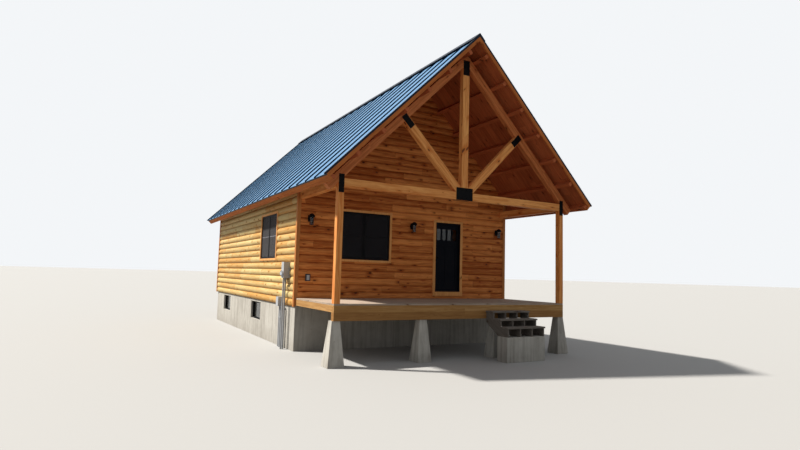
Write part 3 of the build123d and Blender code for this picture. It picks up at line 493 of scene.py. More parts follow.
@dataclass(frozen=True)
class Coating:
    """Paint, enamel or plastic on a smooth base.

    Ribs are given by their first place, spacing and width along Y, and their edges by parts of
    that width; their dark colour is painted shade. A painted reflection of the sky gives the sheet
    its colour where it is seen almost edge on, and sets in between two parts of the way there.
    """

    name: str
    colour: Colour
    dust: Colour = (0.30, 0.27, 0.23)
    rough: float = 0.4
    gloss: float = 0.5
    dusty: float = 0.25
    waves: float = 0.0
    ribs: Triple | None = None
    rib_painted_shade: Colour = (0.0, 0.0, 0.0)
    rib_edges: Pair = (0.4, 0.6)
    painted_sheen: Colour | None = None
    painted_sheen_span: Pair = (0.6, 0.87)

    def material(self) -> Material:
        """The coating's material.

        Returns:
            A material with dust in patches, slight waves, a painted reflection seen edge on and
            painted shade on the ribs.
        """
        made, n, shader = blank(self.name)
        here = n.here()
        patches = n.group(EFFECTS.weather, Vector=here, Scale=1.6)["Patches"]
        fine = n.noise(here, 40.0, 4.0, 0.6)
        amount = n.times(n.times(patches, fine), self.dusty)
        colour, gloss = n.mix(amount, self.colour, self.dust), self.gloss
        # Painted reflection: the sky's colour mixed in where the sheet is seen almost edge on
        if self.painted_sheen:
            edgewise = n.node("LayerWeight", Blend=0.5).outputs["Facing"]
            colour = n.mix(n.ease(edgewise, *self.painted_sheen_span), colour, self.painted_sheen)
        # Painted shade: the ribs take their dark colour and lose their gloss
        if self.ribs:
            start, pitch, width = self.ribs
            along = n.math("SUBTRACT", n.split(here)[1], start)
            away = n.math("PINGPONG", along, pitch / 2)
            between = n.ease(away, *(edge * width for edge in self.rib_edges))
            colour = n.mix(between, self.rib_painted_shade, colour)
            gloss = n.times(between, gloss)
        height = n.total(0.0, (fine, 0.00006))
        if self.waves > 0:
            height = n.total(height, (n.noise(here, 1.4, 1.0), self.waves))
        n.fill(
            shader, Base_Color=colour, Roughness=n.total(self.rough - 0.08, (fine, 0.16)),
            Specular_IOR_Level=gloss, Normal=n.bump(height),
        )
        return made


@dataclass(frozen=True)
class Glass:
    """Window or lantern glass."""

    name: str
    colour: Colour
    rough: float = 0.03
    gloss: float = 0.5

    def material(self) -> Material:
        """The glass's material.

        Returns:
            A clear or tinted material, slightly uneven, with faint smears.
        """
        made, n, shader = blank(self.name)
        here = n.here()
        n.fill(
            shader, Transmission_Weight=1.0, IOR=1.45, Specular_IOR_Level=self.gloss,
            Base_Color=self.colour,
            Roughness=n.total(self.rough, (n.noise(here, 6.0, 4.0, 0.6), 0.05)),
            Normal=n.bump(n.noise(here, 2.0, 1.0), 0.0006),
        )
        return made


@dataclass(frozen=True)
class ScreenMesh:
    """Fly screen: a fine dark weave that lets part of the light through."""

    name: str
    colour: Colour
    cover: float
    threads: float = 4200.0

    def material(self) -> Material:
        """The screen's material.

        Returns:
            A material with a woven grid of threads in its bump and an even cover.
        """
        made, n, shader = blank(self.name)
        here = n.here()
        x, y, z = n.split(here)
        ways = n.math("ADD", x, y), z
        weave = [n.math("SINE", n.times(way, self.threads)) for way in ways]
        tone = n.noise(here, 5.0, 3.0)
        darker = tuple(0.7 * part for part in self.colour)
        n.fill(
            shader, Base_Color=n.mix(tone, self.colour, darker), Roughness=0.7,
            Specular_IOR_Level=0.05, Alpha=n.total(self.cover, (tone, 0.1)),
            Normal=n.bump(n.math("ADD", *weave), 0.0002),
        )
        return made


Finish = Timber | Concrete | Coating | Glass | ScreenMesh


@cache
def material(finish: Finish) -> Material:
    """The material of a finish, made at its first use."""
    return finish.material()


def skin(rows: np.ndarray) -> Shape:
    """The skin over rows of points that go round, closed at both ends.

    A face joins two neighbours of a row to the two above them, the last point of a row being
    the first one's neighbour, and each end is one face.

    Args:
        rows: The points, by row, by place in the row, and by X, Y and Z.

    Returns:
        The points and the faces.
    """
    count, sides, _ = rows.shape
    top = (count - 1) * sides
    low = np.arange(top)
    along = low - low % sides + (low + 1) % sides
    faces = np.stack([low, along, along + sides, low + sides], axis=1).tolist()
    faces += [list(range(sides - 1, -1, -1)), list(range(top, top + sides))]
    return rows.reshape(-1, 3), faces


def lathe(outline: list[Pair] | np.ndarray, sides: int) -> Shape:
    """A turned shape about Z, closed at both ends.

    The point at step i and turn j is (r_i cos t_j, r_i sin t_j, h_i), with t_j = 2 pi j / sides.

    Args:
        outline: The radius and the height at each step, from the foot to the top.
        sides: How many sides go round.

    Returns:
        The points and the faces.
    """
    turn = 2 * np.pi * np.arange(sides) / sides
    r, h = np.array(outline, float).T[:, :, None]
    return skin(np.stack([r * np.cos(turn), r * np.sin(turn), h + 0 * turn], axis=-1))


def dome(foot: list[Pair], cap: Triple, tip: Pair, sides: int) -> Shape:
    """A turned shape whose top is rounded over.

    Above its foot the outline's point at angle a is (radius cos a, base + rise sin a).

    Args:
        foot: The radius and the height at each step below the rounding.
        cap: The rounding's radius, its base and its rise.
        tip: The radius and the height of the small flat at the top.
        sides: How many sides go round.

    Returns:
        The points and the faces.
    """
    arc = np.linspace(0, math.pi / 2, 8)[:-1]
    radius, base, rise = cap
    rounding = np.column_stack([radius * np.cos(arc), base + rise * np.sin(arc)])
    return lathe(np.concatenate([foot, rounding, [tip]]), sides)


def rounded_bar(length: float, width: float, height: float, radius: float, steps: int = 3) -> Shape:
    """A bar along X with rounded long edges, centred on the origin.

    Its outline is a rectangle whose corners are quarter circles: each corner's points are its
    centre plus radius times (cos a, sin a), with a from the corner's first to its last angle.

    Args:
        length: Size along X.
        width: Size along Y.
        height: Size along Z.
        radius: Radius of the long edges.
        steps: Points on each corner.

    Returns:
        The points and the faces.
    """
    quarter = np.linspace(0, np.pi / 2, steps)
    angles = (np.arange(4)[:, None] * np.pi / 2 + quarter).reshape(-1)
    signs = np.repeat([[1, 1], [-1, 1], [-1, -1], [1, -1]], steps, axis=0)
    corner = signs * (np.array([width, height]) / 2 - radius)
    outline = corner + radius * np.stack([np.cos(angles), np.sin(angles)], axis=1)
    ends = np.repeat([-length / 2, length / 2], len(outline))
    return skin(np.column_stack([ends, np.tile(outline, (2, 1))]).reshape(2, -1, 3))


def ring(radius: float, thickness: float, sides: int = 32, steps: int = 8) -> Shape:
    """A round bar bent into a ring about Z.

    The point at turn i and step j is ((R + r cos b_j) cos a_i, (R + r cos b_j) sin a_i, r sin b_j).

    Args:
        radius: The ring's radius R, to the middle of the bar.
        thickness: The bar's radius r.
        sides: Points round the ring.
        steps: Points round the bar.

    Returns:
        The points and the faces.
    """
    a = (2 * np.pi * np.arange(sides) / sides)[:, None]
    b = (2 * np.pi * np.arange(steps) / steps)[None, :]
    reach, level = radius + thickness * np.cos(b), thickness * np.sin(b) + 0 * a
    points = np.stack([reach * np.cos(a), reach * np.sin(a), level], axis=-1).reshape(-1, 3)
    i, j = np.meshgrid(np.arange(sides), np.arange(steps), indexing="ij")
    far, on = (i + 1) % sides, (j + 1) % steps
    corners = [i * steps + j, far * steps + j, far * steps + on, i * steps + on]
    return points, np.stack(corners, axis=-1).reshape(-1, 4).tolist()


# Turns of a bar that lies along X: one stands it up along Z, the other lays it along Y
UPRIGHT = np.array([(0, 0, 1), (0, -1, 0), (1, 0, 0)])
SIDEWAYS = np.array([(0, -1, 0), (1, 0, 0), (0, 0, 1)])


def facing(x: int, y: int) -> np.ndarray:
    """The turn that takes Z to a level normal (x, y, 0), Y to Z, and X to the normal's right."""
    return np.array([(-y, x, 0), (0, 0, 1), (x, y, 0)]).T


def stand(name: str, data: bpy.types.ID) -> bpy.types.Object:
    """Make an object and put it in the scene.

    Args:
        name: Its name.
        data: Its mesh, light or camera.

    Returns:
        The object.
    """
    made = bpy.data.objects.new(name, data)
    bpy.context.scene.collection.objects.link(made)
    return made


@dataclass
class Piece:
    """A piece of many like shapes, joined into one mesh."""

    name: str
    points: list[np.ndarray] = field(default_factory=list)
    faces: list[list[int]] = field(default_factory=list)

    def add(self, shape: Shape, place: Any, turn: np.ndarray | None = None) -> None:
        """Add one shape.

        Args:
            shape: The shape, about the origin.
            place: Where its origin goes.
            turn: How it is turned before it moves there.
        """
        points, faces = shape
        base = sum(len(p) for p in self.points)
        turned = points if turn is None else points @ turn.T
        self.points.append(turned + np.array(place))
        self.faces += [[base + i for i in face] for face in faces]

    def build(self, finish: Finish, slot: str, body: str = "cabin") -> bpy.types.Object:
        """Make the object, on its body and with its finish.

        Args:
            finish: The finish.
            slot: Not used.
            body: The body that it rides on.

        Returns:
            The finished object, at the origin.
        """
        mesh = bpy.data.meshes.new(self.name)
        mesh.from_pydata(np.concatenate(self.points).tolist(), [], self.faces)
        mesh.materials.append(material(finish))
        mesh.shade_smooth()
        mesh.set_sharp_from_angle(angle=math.radians(35))
        mesh.update()
        made = stand(self.name, mesh)
        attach(made, body)
        LOG.info("%s: %d faces", self.name, len(self.faces))
        return made


# What the timbers of one stain share
LOGS = dict(
    width=LOG_COURSE, length=2.6, start=SIDING_BASE, tone=0.8, hewn=0.004, knot_spacing=0.19
)
HONEY = dict(
    pale=(0.67, 0.535, 0.25), deep=(0.54, 0.27, 0.069), seam=0.012, seam_stain_and_shade=0.8, edge_stain_and_shade=0.3,
    knot_size=0.024, **LOGS,
)
# The logs' stain again, deeper and redder: painted shade and warm bounce light under the porch roof
PORCH_PAINTED_SHADE = dict(
    pale=(0.85, 0.325, 0.092), deep=(0.39, 0.10, 0.020), knot=(0.045, 0.014, 0.006), seam=0.008,
    seam_stain_and_shade=0.5, edge_stain_and_shade=0.25, mottle=0.45, knot_size=0.027, **LOGS,
)
TRUSS = dict(pale=(1.0, 0.50, 0.165), deep=(0.66, 0.205, 0.049), mottle=0.55, knot_spacing=0.2)
UNDER = dict(pale=(0.58, 0.165, 0.062), deep=(0.33, 0.080, 0.028), mottle=0.3, knot_spacing=0.26)
EDGE = dict(
    pale=(0.66, 0.22, 0.060), deep=(0.36, 0.10, 0.028), knot_size=0.014, tone=0.2, gloss=0.03
)
RIM = dict(pale=(0.59, 0.345, 0.132), deep=(0.35, 0.166, 0.048), worn=0.05, mottle=0.5)
STEPS = dict(pale=(0.25, 0.22, 0.19), deep=(0.12, 0.10, 0.085), worn=0.2, rough=0.7, gloss=0.04)
INSIDE = dict(pale=(0.52, 0.31, 0.14), deep=(0.36, 0.19, 0.075))
PLAIN = dict(run=Run.UPRIGHT, tone=0.1, knot_size=0.012)
BEAM_TIMBER = Timber("beam timber", (0.45, 0.23, 0.080), (0.27, 0.125, 0.038), Run.ALONG_X)
DECK_TIMBER = Timber(
    "deck timber", (0.55, 0.43, 0.33), (0.32, 0.23, 0.165), Run.ALONG_X_FLAT, width=0.1443,
    start=FRONT_FACE, worn=0.3, rough=0.75, gloss=0.02, grey=(0.34, 0.31, 0.28),
    knot=(0.16, 0.09, 0.055),
)
RAFTER_TIMBER = Timber(
    "rafter timber", (0.74, 0.26, 0.090), (0.42, 0.12, 0.036), Run.DOWN_SLOPE, mottle=0.6
)
TRIM_TIMBER = Timber("pine trim", (0.61, 0.26, 0.084), (0.41, 0.138, 0.037), **PLAIN)
CASING_TIMBER = Timber("casing timber", (0.95, 0.50, 0.19), (0.66, 0.28, 0.08), **PLAIN)
CAST_CONCRETE = Concrete("cast concrete", (0.56, 0.53, 0.475), (0.33, 0.30, 0.26))
# Painted light on the roof metal: its blue is partly a painted reflection of a blue sky, the
# edge-on colour a painted reflection, and the rib colour painted shade
ROOF_METAL = Coating(
    "roof metal", (0.056, 0.098, 0.145), rough=0.45, gloss=0.12, dusty=0.15, waves=0.001,
    ribs=(-3.215, 0.592, 0.095), rib_painted_shade=(0.001, 0.010, 0.030), painted_sheen=(0.096, 0.215, 0.38),
)
ROOF_TRIM = Coating("roof trim", (0.006, 0.012, 0.026), gloss=0.08, dusty=0.03)
BLACK_STEEL = Coating("black steel", (0.006, 0.006, 0.007), rough=0.5, gloss=0.03, dusty=0.02)
BLACK_SASH = Coating("black sash", (0.007, 0.007, 0.008), rough=0.5, gloss=0.04, dusty=0.03)
BLACK_DOOR = Coating(
    "black door", (0.005, 0.006, 0.010), rough=0.5, gloss=0.03, dusty=0.02, waves=0.0004
)
GREY_ENAMEL = Coating("grey enamel", (0.44, 0.45, 0.47), rough=0.5, gloss=0.2, dusty=0.5)
OUTLET_GREY = Coating("outlet grey", (0.045, 0.045, 0.05), rough=0.5, gloss=0.1, dusty=0.2)
RAIL_GREY = Coating("screen rail grey", (0.30, 0.30, 0.33), rough=0.4, gloss=0.2)
WINDOW_GLASS = Glass("window glass", (0.30, 0.33, 0.34), gloss=0.15)
DOOR_GLASS = Glass("door glass", (0.16, 0.17, 0.17), gloss=0.15)
LANTERN_GLASS = Glass("lantern glass", (0.22, 0.23, 0.25), gloss=0.3)
METER_GLASS = Glass("meter glass", (0.80, 0.83, 0.85))
LAMP_GLASS = Glass("lamp glass", (0.62, 0.56, 0.42), 0.2)
FLY_SCREEN = ScreenMesh("fly screen", (0.082, 0.077, 0.080), 0.75)
# The fly screen again, darker and denser: painted shade under the porch roof
SCREEN_PAINTED_SHADE = ScreenMesh("porch screen", (0.022, 0.022, 0.026), 0.85)


class SubAssembly:
    """A part of the cabin, which dresses its CAD nodes and builds its small pieces."""

    @staticmethod
    def wear(finish: Finish, *nodes: str) -> None:
        """Put a finish on CAD nodes.

        Args:
            finish: The finish.
            nodes: The nodes that wear it.
        """
        for node in nodes:
            for slot in frame["nodes"][node].material_slots:
                slot.material = material(finish)
            LOG.info("%s wears %s", node, finish.name)

    def dress(self) -> None:
        """Put the finishes on its CAD nodes."""

    def build(self) -> None:
        """Build its own small pieces, where it has any."""


@dataclass
class Foundation(SubAssembly):
    """The concrete walls and piers."""

    def dress(self) -> None:
        """Cast concrete throughout."""
        self.wear(CAST_CONCRETE, "foundation_side_walls", "foundation_end_walls", "concrete_piers")


@dataclass
class LogWalls(SubAssembly):
    """The log-sided walls: one stain, bright in the open, and under the porch roof a deeper, redder
    copy of it that paints the shade and warm bounce light there.
    """

    def dress(self) -> None:
        """Logs run along each wall, and the trims stand upright."""
        # The porch logs wear the deeper, redder copy of the stain: painted shade
        porch = Timber("porch logs", run=Run.ALONG_X, **PORCH_PAINTED_SHADE)
        side = Timber("side logs", run=Run.ALONG_Y, **HONEY)
        self.wear(porch, "front_wall_left", "front_wall_right", "door_bay_wall", "front_gable")
        self.wear(Timber("back logs", run=Run.ALONG_X, **HONEY), "back_wall")
        self.wear(side, "left_wall", "right_wall")
        self.wear(TRIM_TIMBER, "corner_boards")


@dataclass
class Windows(SubAssembly):
    """The twin windows and the foundation's windows, with screens over the twin ones.

    Light is the size of one screen, and offset is how far its middle is from the window's, whose
    own is middle high, at across in X in the front and back walls and at along in Y in the side
    walls. Depth is how far a screen stands before its wall. Frame and rail are the widths of the
    bars, and a sheet or a bar is given by its depth and rounding.
    """

    light: Pair = (0.73, 1.22)
    offset: float = 0.395
    middle: float = 3.057
    across: float = -1.535
    along: float = 2.443
    back_face: float = 9.7
    depth: float = 0.035
    frame: float = 0.018
    rail: float = 0.012
    sheet: Pair = (0.001, 0.0004)
    bar: Pair = (0.008, 0.002)

    def dress(self) -> None:
        """Pine casings, black frames and sashes, dark glass."""
        self.wear(CASING_TIMBER, "window_casings")
        self.wear(BLACK_SASH, "window_frames", "window_sashes")
        self.wear(WINDOW_GLASS, "window_glass")

    def build(self) -> None:
        """Put a framed screen with a middle rail before each sash, inside the window's frame."""
        out = HALF_WIDTH + self.depth
        front, back = FRONT_FACE - self.depth, self.back_face + self.depth
        windows = (
            (self.across, front, (0, -1)), (self.across, back, (0, 1)),
            (-out, self.along, (-1, 0)), (out, self.along, (1, 0)),
        )
        wide, tall = self.light
        weave, shade_painted_weave = Piece("fly_screens"), Piece("screens_painted_shade")
        bars, rails = Piece("screen_frames"), Piece("screen_rails")
        sheet = rounded_bar(wide, tall, *self.sheet, 2)
        flat = rounded_bar(wide, self.frame, *self.bar)
        upright = rounded_bar(tall - 2 * self.frame, self.frame, *self.bar)
        rail = rounded_bar(wide - 2 * self.frame, self.rail, *self.bar)
        for x, y, normal in windows:
            turn = facing(*normal)
            right = turn[:, 0]
            for side in (-1, 1):
                middle = np.array((x, y, self.middle)) + side * self.offset * right
                # Under the porch roof the screens take the darker copy, and black middle rails in
                # place of grey ones: painted shade
                (shade_painted_weave if y == front else weave).add(sheet, middle, turn)
                (bars if y == front else rails).add(rail, middle, turn)
                for end in (-1, 1):
                    bars.add(flat, middle + (0, 0, end * (tall - self.frame) / 2), turn)
                    aside = end * (wide - self.frame) / 2 * right
                    bars.add(upright, middle + aside, turn @ SIDEWAYS)
        weave.build(FLY_SCREEN, "window_black")
        shade_painted_weave.build(SCREEN_PAINTED_SHADE, "window_black")
        bars.build(BLACK_SASH, "window_black")
        rails.build(RAIL_GREY, "window_black")


@dataclass
class FrontDoor(SubAssembly):
    """The black front door in its pine casing."""

    def dress(self) -> None:
        """Black paint and steel, dark glass, pine casing."""
        self.wear(CASING_TIMBER, "door_casing")
        self.wear(BLACK_DOOR, "door_leaf", "door_frame")
        self.wear(BLACK_STEEL, "frame_hinges", "door_fittings")
        self.wear(DOOR_GLASS, "door_glass")


@dataclass
class Lanterns(SubAssembly):
    """The three caged lanterns on the front wall.

    Places are in X, the axis is in Y, and the foot is how high the cages begin. A lamp has a
    stem with its radius and height, a rounding with its radius, base and rise, and a small flat
    tip.
    """

    places: Triple = (-3.125, -0.005, 3.125)
    axis: float = -0.283
    foot: float = 3.272
    cage_height: float = 0.193
    ring_radius: float = 0.051
    ring_thickness: float = 0.0045
    ring_count: int = 3
    stem: Pair = (0.012, 0.05)
    bulb: Triple = (0.019, 0.06, 0.06)
    tip: Pair = (0.0008, 0.122)

    def dress(self) -> None:
        """Black steel and smoked glass."""
        self.wear(BLACK_STEEL, "wall_lanterns")
        self.wear(LANTERN_GLASS, "lantern_glass")

    def build(self) -> None:
        """Put rings round each cage and a lamp with a rounded top inside the glass."""
        lamp = dome([(self.stem[0], 0.0), self.stem], self.bulb, self.tip, 20)
        loop = ring(self.ring_radius, self.ring_thickness)
        shares = np.arange(1, self.ring_count + 1) / (self.ring_count + 1)
        lamps, rings = Piece("lantern_lamps"), Piece("lantern_rings")
        for x in self.places:
            lamps.add(lamp, (x, self.axis, self.foot))
            for share in shares:
                rings.add(loop, (x, self.axis, self.foot + self.cage_height * share))
        lamps.build(LAMP_GLASS, "lantern_glass")
        rings.build(BLACK_STEEL, "plate_steel")


@dataclass
class Services(SubAssembly):
    """The meter box, the small box and the outlet, with the meter and the pipes beside theirs.

    The meter's place is in Y and Z. Its rim's outline is in parts of its radius and in metres of
    depth. The glass has its radius in the same parts, and then the depth of its foot and of its
    rounding's base, and the rounding's rise. Each pipe has its place, its top and its radius, and
    a socket that reaches from one distance below its top to another.
    """

    meter: Pair = (0.403, 1.985)
    meter_radius: float = 0.088
    rim: tuple[Pair, ...] = ((1, 0.0), (1, 0.018), (0.9, 0.024), (0.84, 0.022), (0.84, 0.004))
    glass: float = 0.8
    glass_depths: Triple = (0.006, 0.035, 0.03)
    glass_tip: Pair = (0.001, 0.0652)
    pipes: tuple[tuple[float, ...], ...] = (
        (-3.580, 0.430, 1.860, 0.022), (-3.470, 0.880, 1.090, 0.036), (-3.470, 1.028, 1.090, 0.020),
    )
    socket: Pair = (0.34, 0.285)
    socket_edge: float = 0.005
    socket_width: float = 1.2
    outlet: Triple = (-3.13, -0.185, 1.890)
    outlet_size: Triple = (0.132, 0.180, 0.024)
    outlet_rounding: float = 0.005

    def dress(self) -> None:
        """Grey enamel."""
        self.wear(GREY_ENAMEL, "service_boxes")

    def build(self) -> None:
        """Fit the glazed meter, the pipes and the outlet's raised edge."""
        self.build_meter()
        self.build_pipes()
        self.build_outlet_edge()

    def build_meter(self) -> None:
        """A round rim on the meter box, with a dome of glass in it."""
        low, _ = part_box("service_boxes")
        place, outwards = (low.x, *self.meter), facing(-1, 0)
        rim, cover = Piece("meter_rim"), Piece("meter_dome")
        rim.add(lathe([(self.meter_radius * r, h) for r, h in self.rim], 40), place, outwards)
        radius, (foot, base, rise) = self.glass * self.meter_radius, self.glass_depths
        glass = dome([(radius, foot)], (radius, base, rise), self.glass_tip, 40)
        cover.add(glass, place, outwards)
        rim.build(GREY_ENAMEL, "grey_boxes")
        cover.build(METER_GLASS, "lantern_glass")

    def build_pipes(self) -> None:
        """Upright pipes from the ground, each with a wider socket below its top."""
        pipes = Piece("service_pipes")
        for x, y, top, r in self.pipes:
            foot, head = (top - drop for drop in self.socket)
            wide, edge = self.socket_width * r, self.socket_edge
            outline = [
                (r, 0.0), (r, foot), (wide, foot + edge), (wide, head - edge), (r, head), (r, top)
            ]
            pipes.add(lathe(outline, 24), (x, y, 0))
        pipes.build(GREY_ENAMEL, "grey_boxes")

    def build_outlet_edge(self) -> None:
        """Four rounded bars round the outlet."""
        wide, tall, deep = self.outlet_size
        x, y, z = self.outlet
        level = rounded_bar(wide, deep, deep, self.outlet_rounding)
        upright = rounded_bar(tall - 2 * deep, deep, deep, self.outlet_rounding)
        edge = Piece("outlet_edge")
        for side in (-1, 1):
            edge.add(level, (x, y, z + side * (tall - deep) / 2))
            aside = side * (wide - deep) / 2
            edge.add(upright, (x + aside, y, z), UPRIGHT)
        edge.build(OUTLET_GREY, "grey_boxes")


@dataclass
class Platform(SubAssembly):
    """The porch platform and its steps, with jointed planks in place of the plain deck.

    Edge is the rounding of a plank, and meets_at are the shares of the deck's width at which the
    two lengths of a row meet, in turn.
    """

    rows: int = 18
    joint: float = 0.006
    edge: float = 0.004
    meets_at: Pair = (0.66, 0.33)

    def dress(self) -> None:
        """Brown framing, weathered planks and dark grey steps."""
        self.wear(Timber("front rim timber", run=Run.ALONG_X, **RIM), "porch_rims")
        self.wear(Timber("joist timber", run=Run.ALONG_Y, **RIM), "porch_joists")
        self.wear(BEAM_TIMBER, "porch_beam")
        self.wear(DECK_TIMBER, "porch_deck")
        self.wear(Timber("tread timber", run=Run.ALONG_X_FLAT, **STEPS), "step_treads")
        self.wear(Timber("stringer timber", run=Run.STAIR, **STEPS), "step_stringers")

    def build(self) -> None:
        """Lay the planks along X in rows, each of two lengths that meet in turn at two places."""
        low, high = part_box("porch_deck")
        pitch = (high.y - low.y) / self.rows
        planks = Piece("porch_planks")
        for row in range(self.rows):
            meet = low.x + (high.x - low.x) * self.meets_at[row % 2]
            y = low.y + (row + 0.5) * pitch
            for start, end in ((low.x, meet - self.joint / 4), (meet + self.joint / 4, high.x)):
                bar = rounded_bar(end - start, pitch - self.joint, high.z - low.z, self.edge)
                planks.add(bar, ((start + end) / 2, y, (low.z + high.z) / 2))
        made = planks.build(DECK_TIMBER, "deck_boards")
        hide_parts("porch_deck")


@dataclass
class PorchTruss(SubAssembly):
    """The posts, the beams and the king-post truss, with hexagonal bolt heads on its plates.

    A bolt has its radius and height. Foot is how high the middle of the king post's lower plate
    is, and below_top how far the middle of the upper one is below the plates' top. Strut and heel
    are the middles of their plates in X and Z. A grid is how far it goes from its first to its
    last bolt, level and upright before the plate is turned, and how many bolts it has each way.
    """

    bolt: Pair = (0.016, 0.012)
    foot: float = 4.088
    foot_grid: Grid = ((0.40, 0.20), (4, 2))
    below_top: float = 0.195
    apex_grid: Grid = ((0.10, 0.28), (2, 3))
    strut: Pair = (1.684, 5.70)
    strut_grid: Grid = ((0.25, 0.085), (4, 2))
    heel: Pair = (3.35, 4.016)
    heel_grid: Grid = ((0.07, 0.32), (2, 4))

    def dress(self) -> None:
        """Honey timber, redder rafters and black plates."""
        upright = Timber("upright timber", run=Run.UPRIGHT, **TRUSS)
        self.wear(upright, "porch_posts", "king_post")
        self.wear(Timber("cross timber", run=Run.ALONG_X, **TRUSS), "tie_beams")
        self.wear(Timber("long timber", run=Run.ALONG_Y, **TRUSS), "side_beams")
        self.wear(Timber("strut timber", run=Run.UP_STRUT, **TRUSS), "struts")
        self.wear(RAFTER_TIMBER, "rafters")
        self.wear(BLACK_STEEL, "truss_plates")

    @staticmethod
    def rows(middle: Pair, grid: Grid, angle: float = 0.0) -> np.ndarray:
        """Places of a grid of bolts on a plate.

        Args:
            middle: The plate's middle, in X and Z.
            grid: The grid's reach and its counts.
            angle: How far the plate is turned from level, in degrees.

        Returns:
            The places in X and Z.
        """
        ways = [np.linspace(-reach / 2, reach / 2, count) for reach, count in zip(*grid)]
        flat = np.stack(np.meshgrid(*ways), axis=-1).reshape(-1, 2)
        c, s = math.cos(math.radians(angle)), math.sin(math.radians(angle))
        return flat @ np.array([[c, s], [-s, c]]) + np.array(middle)

    def build(self) -> None:
        """Set bolts over every plate's front, and on the back of those that have one there."""
        r, h = self.bolt
        bolt = lathe([(r, 0.0), (r, 0.75 * h), (0.86 * r, h), (0.3 * r, 1.02 * h)], 6)
        low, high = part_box("truss_plates")
        foot, apex = (0, self.foot), (0, high.z - self.below_top)
        places = [self.rows(foot, self.foot_grid), self.rows(apex, self.apex_grid)]
        x, z = self.strut
        places += [self.rows((side * x, z), self.strut_grid, side * 45) for side in (-1, 1)]
        shared = np.concatenate(places)
        x, z = self.heel
        heels = [self.rows((side * x, z), self.heel_grid) for side in (-1, 1)]
        bolts = Piece("truss_bolts")
        for x, z in np.concatenate([shared, *heels]):
            bolts.add(bolt, (x, low.y, z), facing(0, -1))
        for x, z in shared:
            bolts.add(bolt, (x, high.y, z), facing(0, 1))
        bolts.build(BLACK_STEEL, "plate_steel")


@dataclass
class Roof(SubAssembly):
    """The roof's timber and metal, with folded metal edges along both eaves.

    Edge is the upper corner of a fascia board's face, in X and Z, and face is how far the folded
    metal comes down over it, at a small clearance.
    """

    edge: Pair = (3.93, 4.0805)
    face: float = 0.038
    thickness: float = 0.004
    rounding: float = 0.001
    clearance: float = 0.0005

    def dress(self) -> None:
        """Red-brown timber under dark blue metal."""
        boards = Timber(
            "roof boards", run=Run.DOWN_SLOPE_BOARDS, width=0.24, length=2.4, seam=0.005,
            seam_stain_and_shade=0.5, **UNDER,
        )
        self.wear(Timber("purlin timber", run=Run.ALONG_Y, **UNDER), "purlins")
        self.wear(boards, "roof_boards")
        self.wear(Timber("rake timber", run=Run.DOWN_SLOPE, **EDGE), "rake_boards")
        self.wear(Timber("eave timber", run=Run.ALONG_Y, **EDGE), "fascia_boards")
        self.wear(ROOF_METAL, "roof_metal")
        self.wear(ROOF_TRIM, "ridge_cap", "rake_trims")

    def build(self) -> None:
        """Lay a flat rounded bar on the face of each fascia board, square to the roof's slope."""
        low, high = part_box("roof_metal")
        trims = Piece("eave_trims")
        bar = rounded_bar(high.y - low.y, self.face, self.thickness, self.rounding)
        half, off = math.sqrt(0.5), self.thickness / 2 + self.clearance
        for side in (-1, 1):
            out, down = np.array((side * half, 0, -half)), np.array((-side * half, 0, -half))
            corner = np.array((side * self.edge[0], (low.y + high.y) / 2, self.edge[1]))
            turn = np.array([(0, 1, 0), down, out]).T
            trims.add(bar, corner + down * self.face / 2 + out * off, turn)
        trims.build(ROOF_TRIM, "roof_trim")


@dataclass
class Floor(SubAssembly):
    """The cabin's floor and its joists."""

    def dress(self) -> None:
        """Plain boards along Y, joists along X."""
        boards = Timber(
            "floor timber", run=Run.ALONG_Y_FLAT, width=0.12, length=2.4, seam=0.003, **INSIDE
        )
        self.wear(boards, "cabin_floor")
        self.wear(Timber("floor joist timber", run=Run.ALONG_X, **INSIDE), "floor_joists")


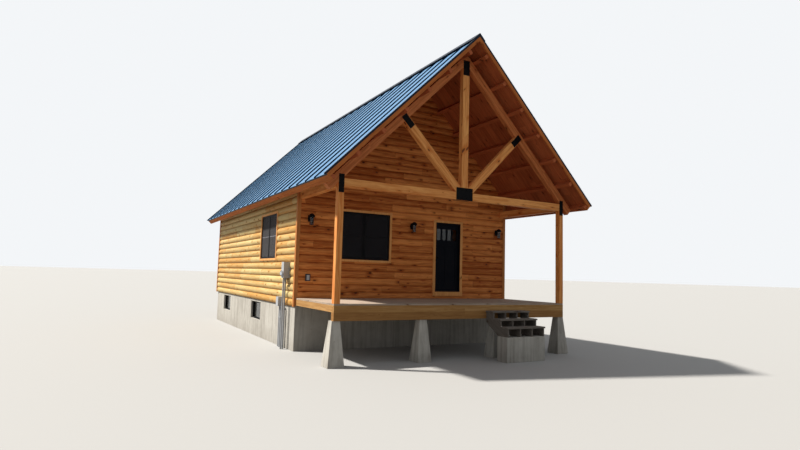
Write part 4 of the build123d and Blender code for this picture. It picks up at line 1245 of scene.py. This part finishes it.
@dataclass
class Studio:
    """The pale floor, the even light and the photograph's camera.

    Place, pitch, roll and yaw are the camera's, in metres and degrees, with its lens and sensor in
    millimetres. The floor's tone and the backdrop are what the camera sees, and the floor's bounce
    and the sky are what lights the cabin beside the sun.
    """

    place: Triple = (-8.0147, -13.6742, 2.0224)
    pitch: float = 5.2677
    roll: float = -1.5901
    yaw: float = -29.3649
    lens: float = 24.375
    sensor: float = 36.0
    floor_tone: Colour = (0.40, 0.392, 0.38)
    floor_bounce: Colour = (0.156, 0.150, 0.138)
    floor_level: float = -0.002
    backdrop: Colour = (0.90, 0.92, 0.94)
    sky: float = 0.38
    sky_tint: Colour = (0.90, 0.95, 1.0)
    sun: float = 6.4
    sun_tint: Colour = (1.0, 0.965, 0.90)
    sun_spread: float = 3.0
    sun_from: Triple = (-1.0, 0.67, 1.51)
    reach: float = 700.0

    @staticmethod
    def seen(n: Nodes) -> Socket:
        """Whether the camera, a gloss or a glass looks at a surface, and not soft light.

        Args:
            n: The nodes of its material or of the world.

        Returns:
            1 where they do and 0 elsewhere.
        """
        path = n.node("LightPath").outputs
        direct = n.math("MAXIMUM", path["Is Camera Ray"], path["Is Glossy Ray"])
        return n.math("MAXIMUM", direct, path["Is Transmission Ray"])

    def build_floor(self) -> None:
        """A wide pale floor that keeps the cabin's shadow."""
        mesh = bpy.data.meshes.new("studio_floor")
        corners = np.array([(-1, -1), (1, -1), (1, 1), (-1, 1)]) * self.reach
        corners = np.column_stack([corners, np.full(4, self.floor_level)])
        mesh.from_pydata(corners.tolist(), [], [(0, 1, 2, 3)])
        made, n, shader = blank("studio floor")
        colour = n.mix(self.seen(n), self.floor_bounce, self.floor_tone)
        n.fill(shader, Roughness=0.9, Base_Color=colour)
        mesh.materials.append(made)
        floor = stand("studio_floor", mesh)

    def build_light(self) -> None:
        """A pale surround that the camera, gloss and glass see, a soft sky and a soft sun."""
        world = bpy.data.worlds.new("studio")
        world.use_nodes = True
        n = Nodes(world.node_tree)
        shown = n.fill(n.tree.nodes["Background"], Color=self.backdrop)
        light = n.node("Background", Color=self.sky_tint, Strength=self.sky)
        both = n.node("MixShader", self.seen(n), light.outputs[0], shown.outputs[0])
        n.fill(n.tree.nodes["World Output"], Surface=both.outputs[0])
        bpy.context.scene.world = world
        lamp = bpy.data.lights.new("key", "SUN")
        lamp.energy, lamp.color = self.sun, self.sun_tint
        lamp.angle = math.radians(self.sun_spread)
        key = stand("key", lamp)
        key.rotation_mode = "QUATERNION"
        key.rotation_quaternion = Vector(self.sun_from).to_track_quat("Z", "Y")

    def build_camera(self) -> None:
        """The camera where the photographer stood: yaw, then pitch, then roll."""
        lens = bpy.data.cameras.new("photo_camera")
        lens.lens, lens.sensor_width, lens.clip_end = self.lens, self.sensor, 2 * self.reach
        made = stand("photo_camera", lens)
        turn = Matrix.Rotation(math.radians(self.yaw), 3, "Z")
        turn @= Matrix.Rotation(math.radians(self.pitch), 3, "X")
        turn @= Matrix.Rotation(math.radians(self.roll), 3, "Y")
        look = turn @ Matrix(((1, 0, 0), (0, 0, -1), (0, 1, 0)))
        made.matrix_world = Matrix.Translation(self.place) @ look.to_4x4()
        bpy.context.scene.camera = made
        bpy.context.scene.view_settings.view_transform = "Standard"


PARTS = (
    Foundation, LogWalls, Windows, FrontDoor, Lanterns, Services, Platform, PorchTruss, Roof, Floor,
)


def main() -> None:
    """Dress and build each sub-assembly, and set up the studio."""
    logging.basicConfig(level=logging.INFO, format="%(name)s: %(message)s")
    for kind in PARTS:
        part = kind()
        part.dress()
        part.build()
        LOG.info("%s done", kind.__name__)
    studio = Studio()
    studio.build_floor()
    studio.build_light()
    studio.build_camera()


if __name__ == "__main__":
    main()
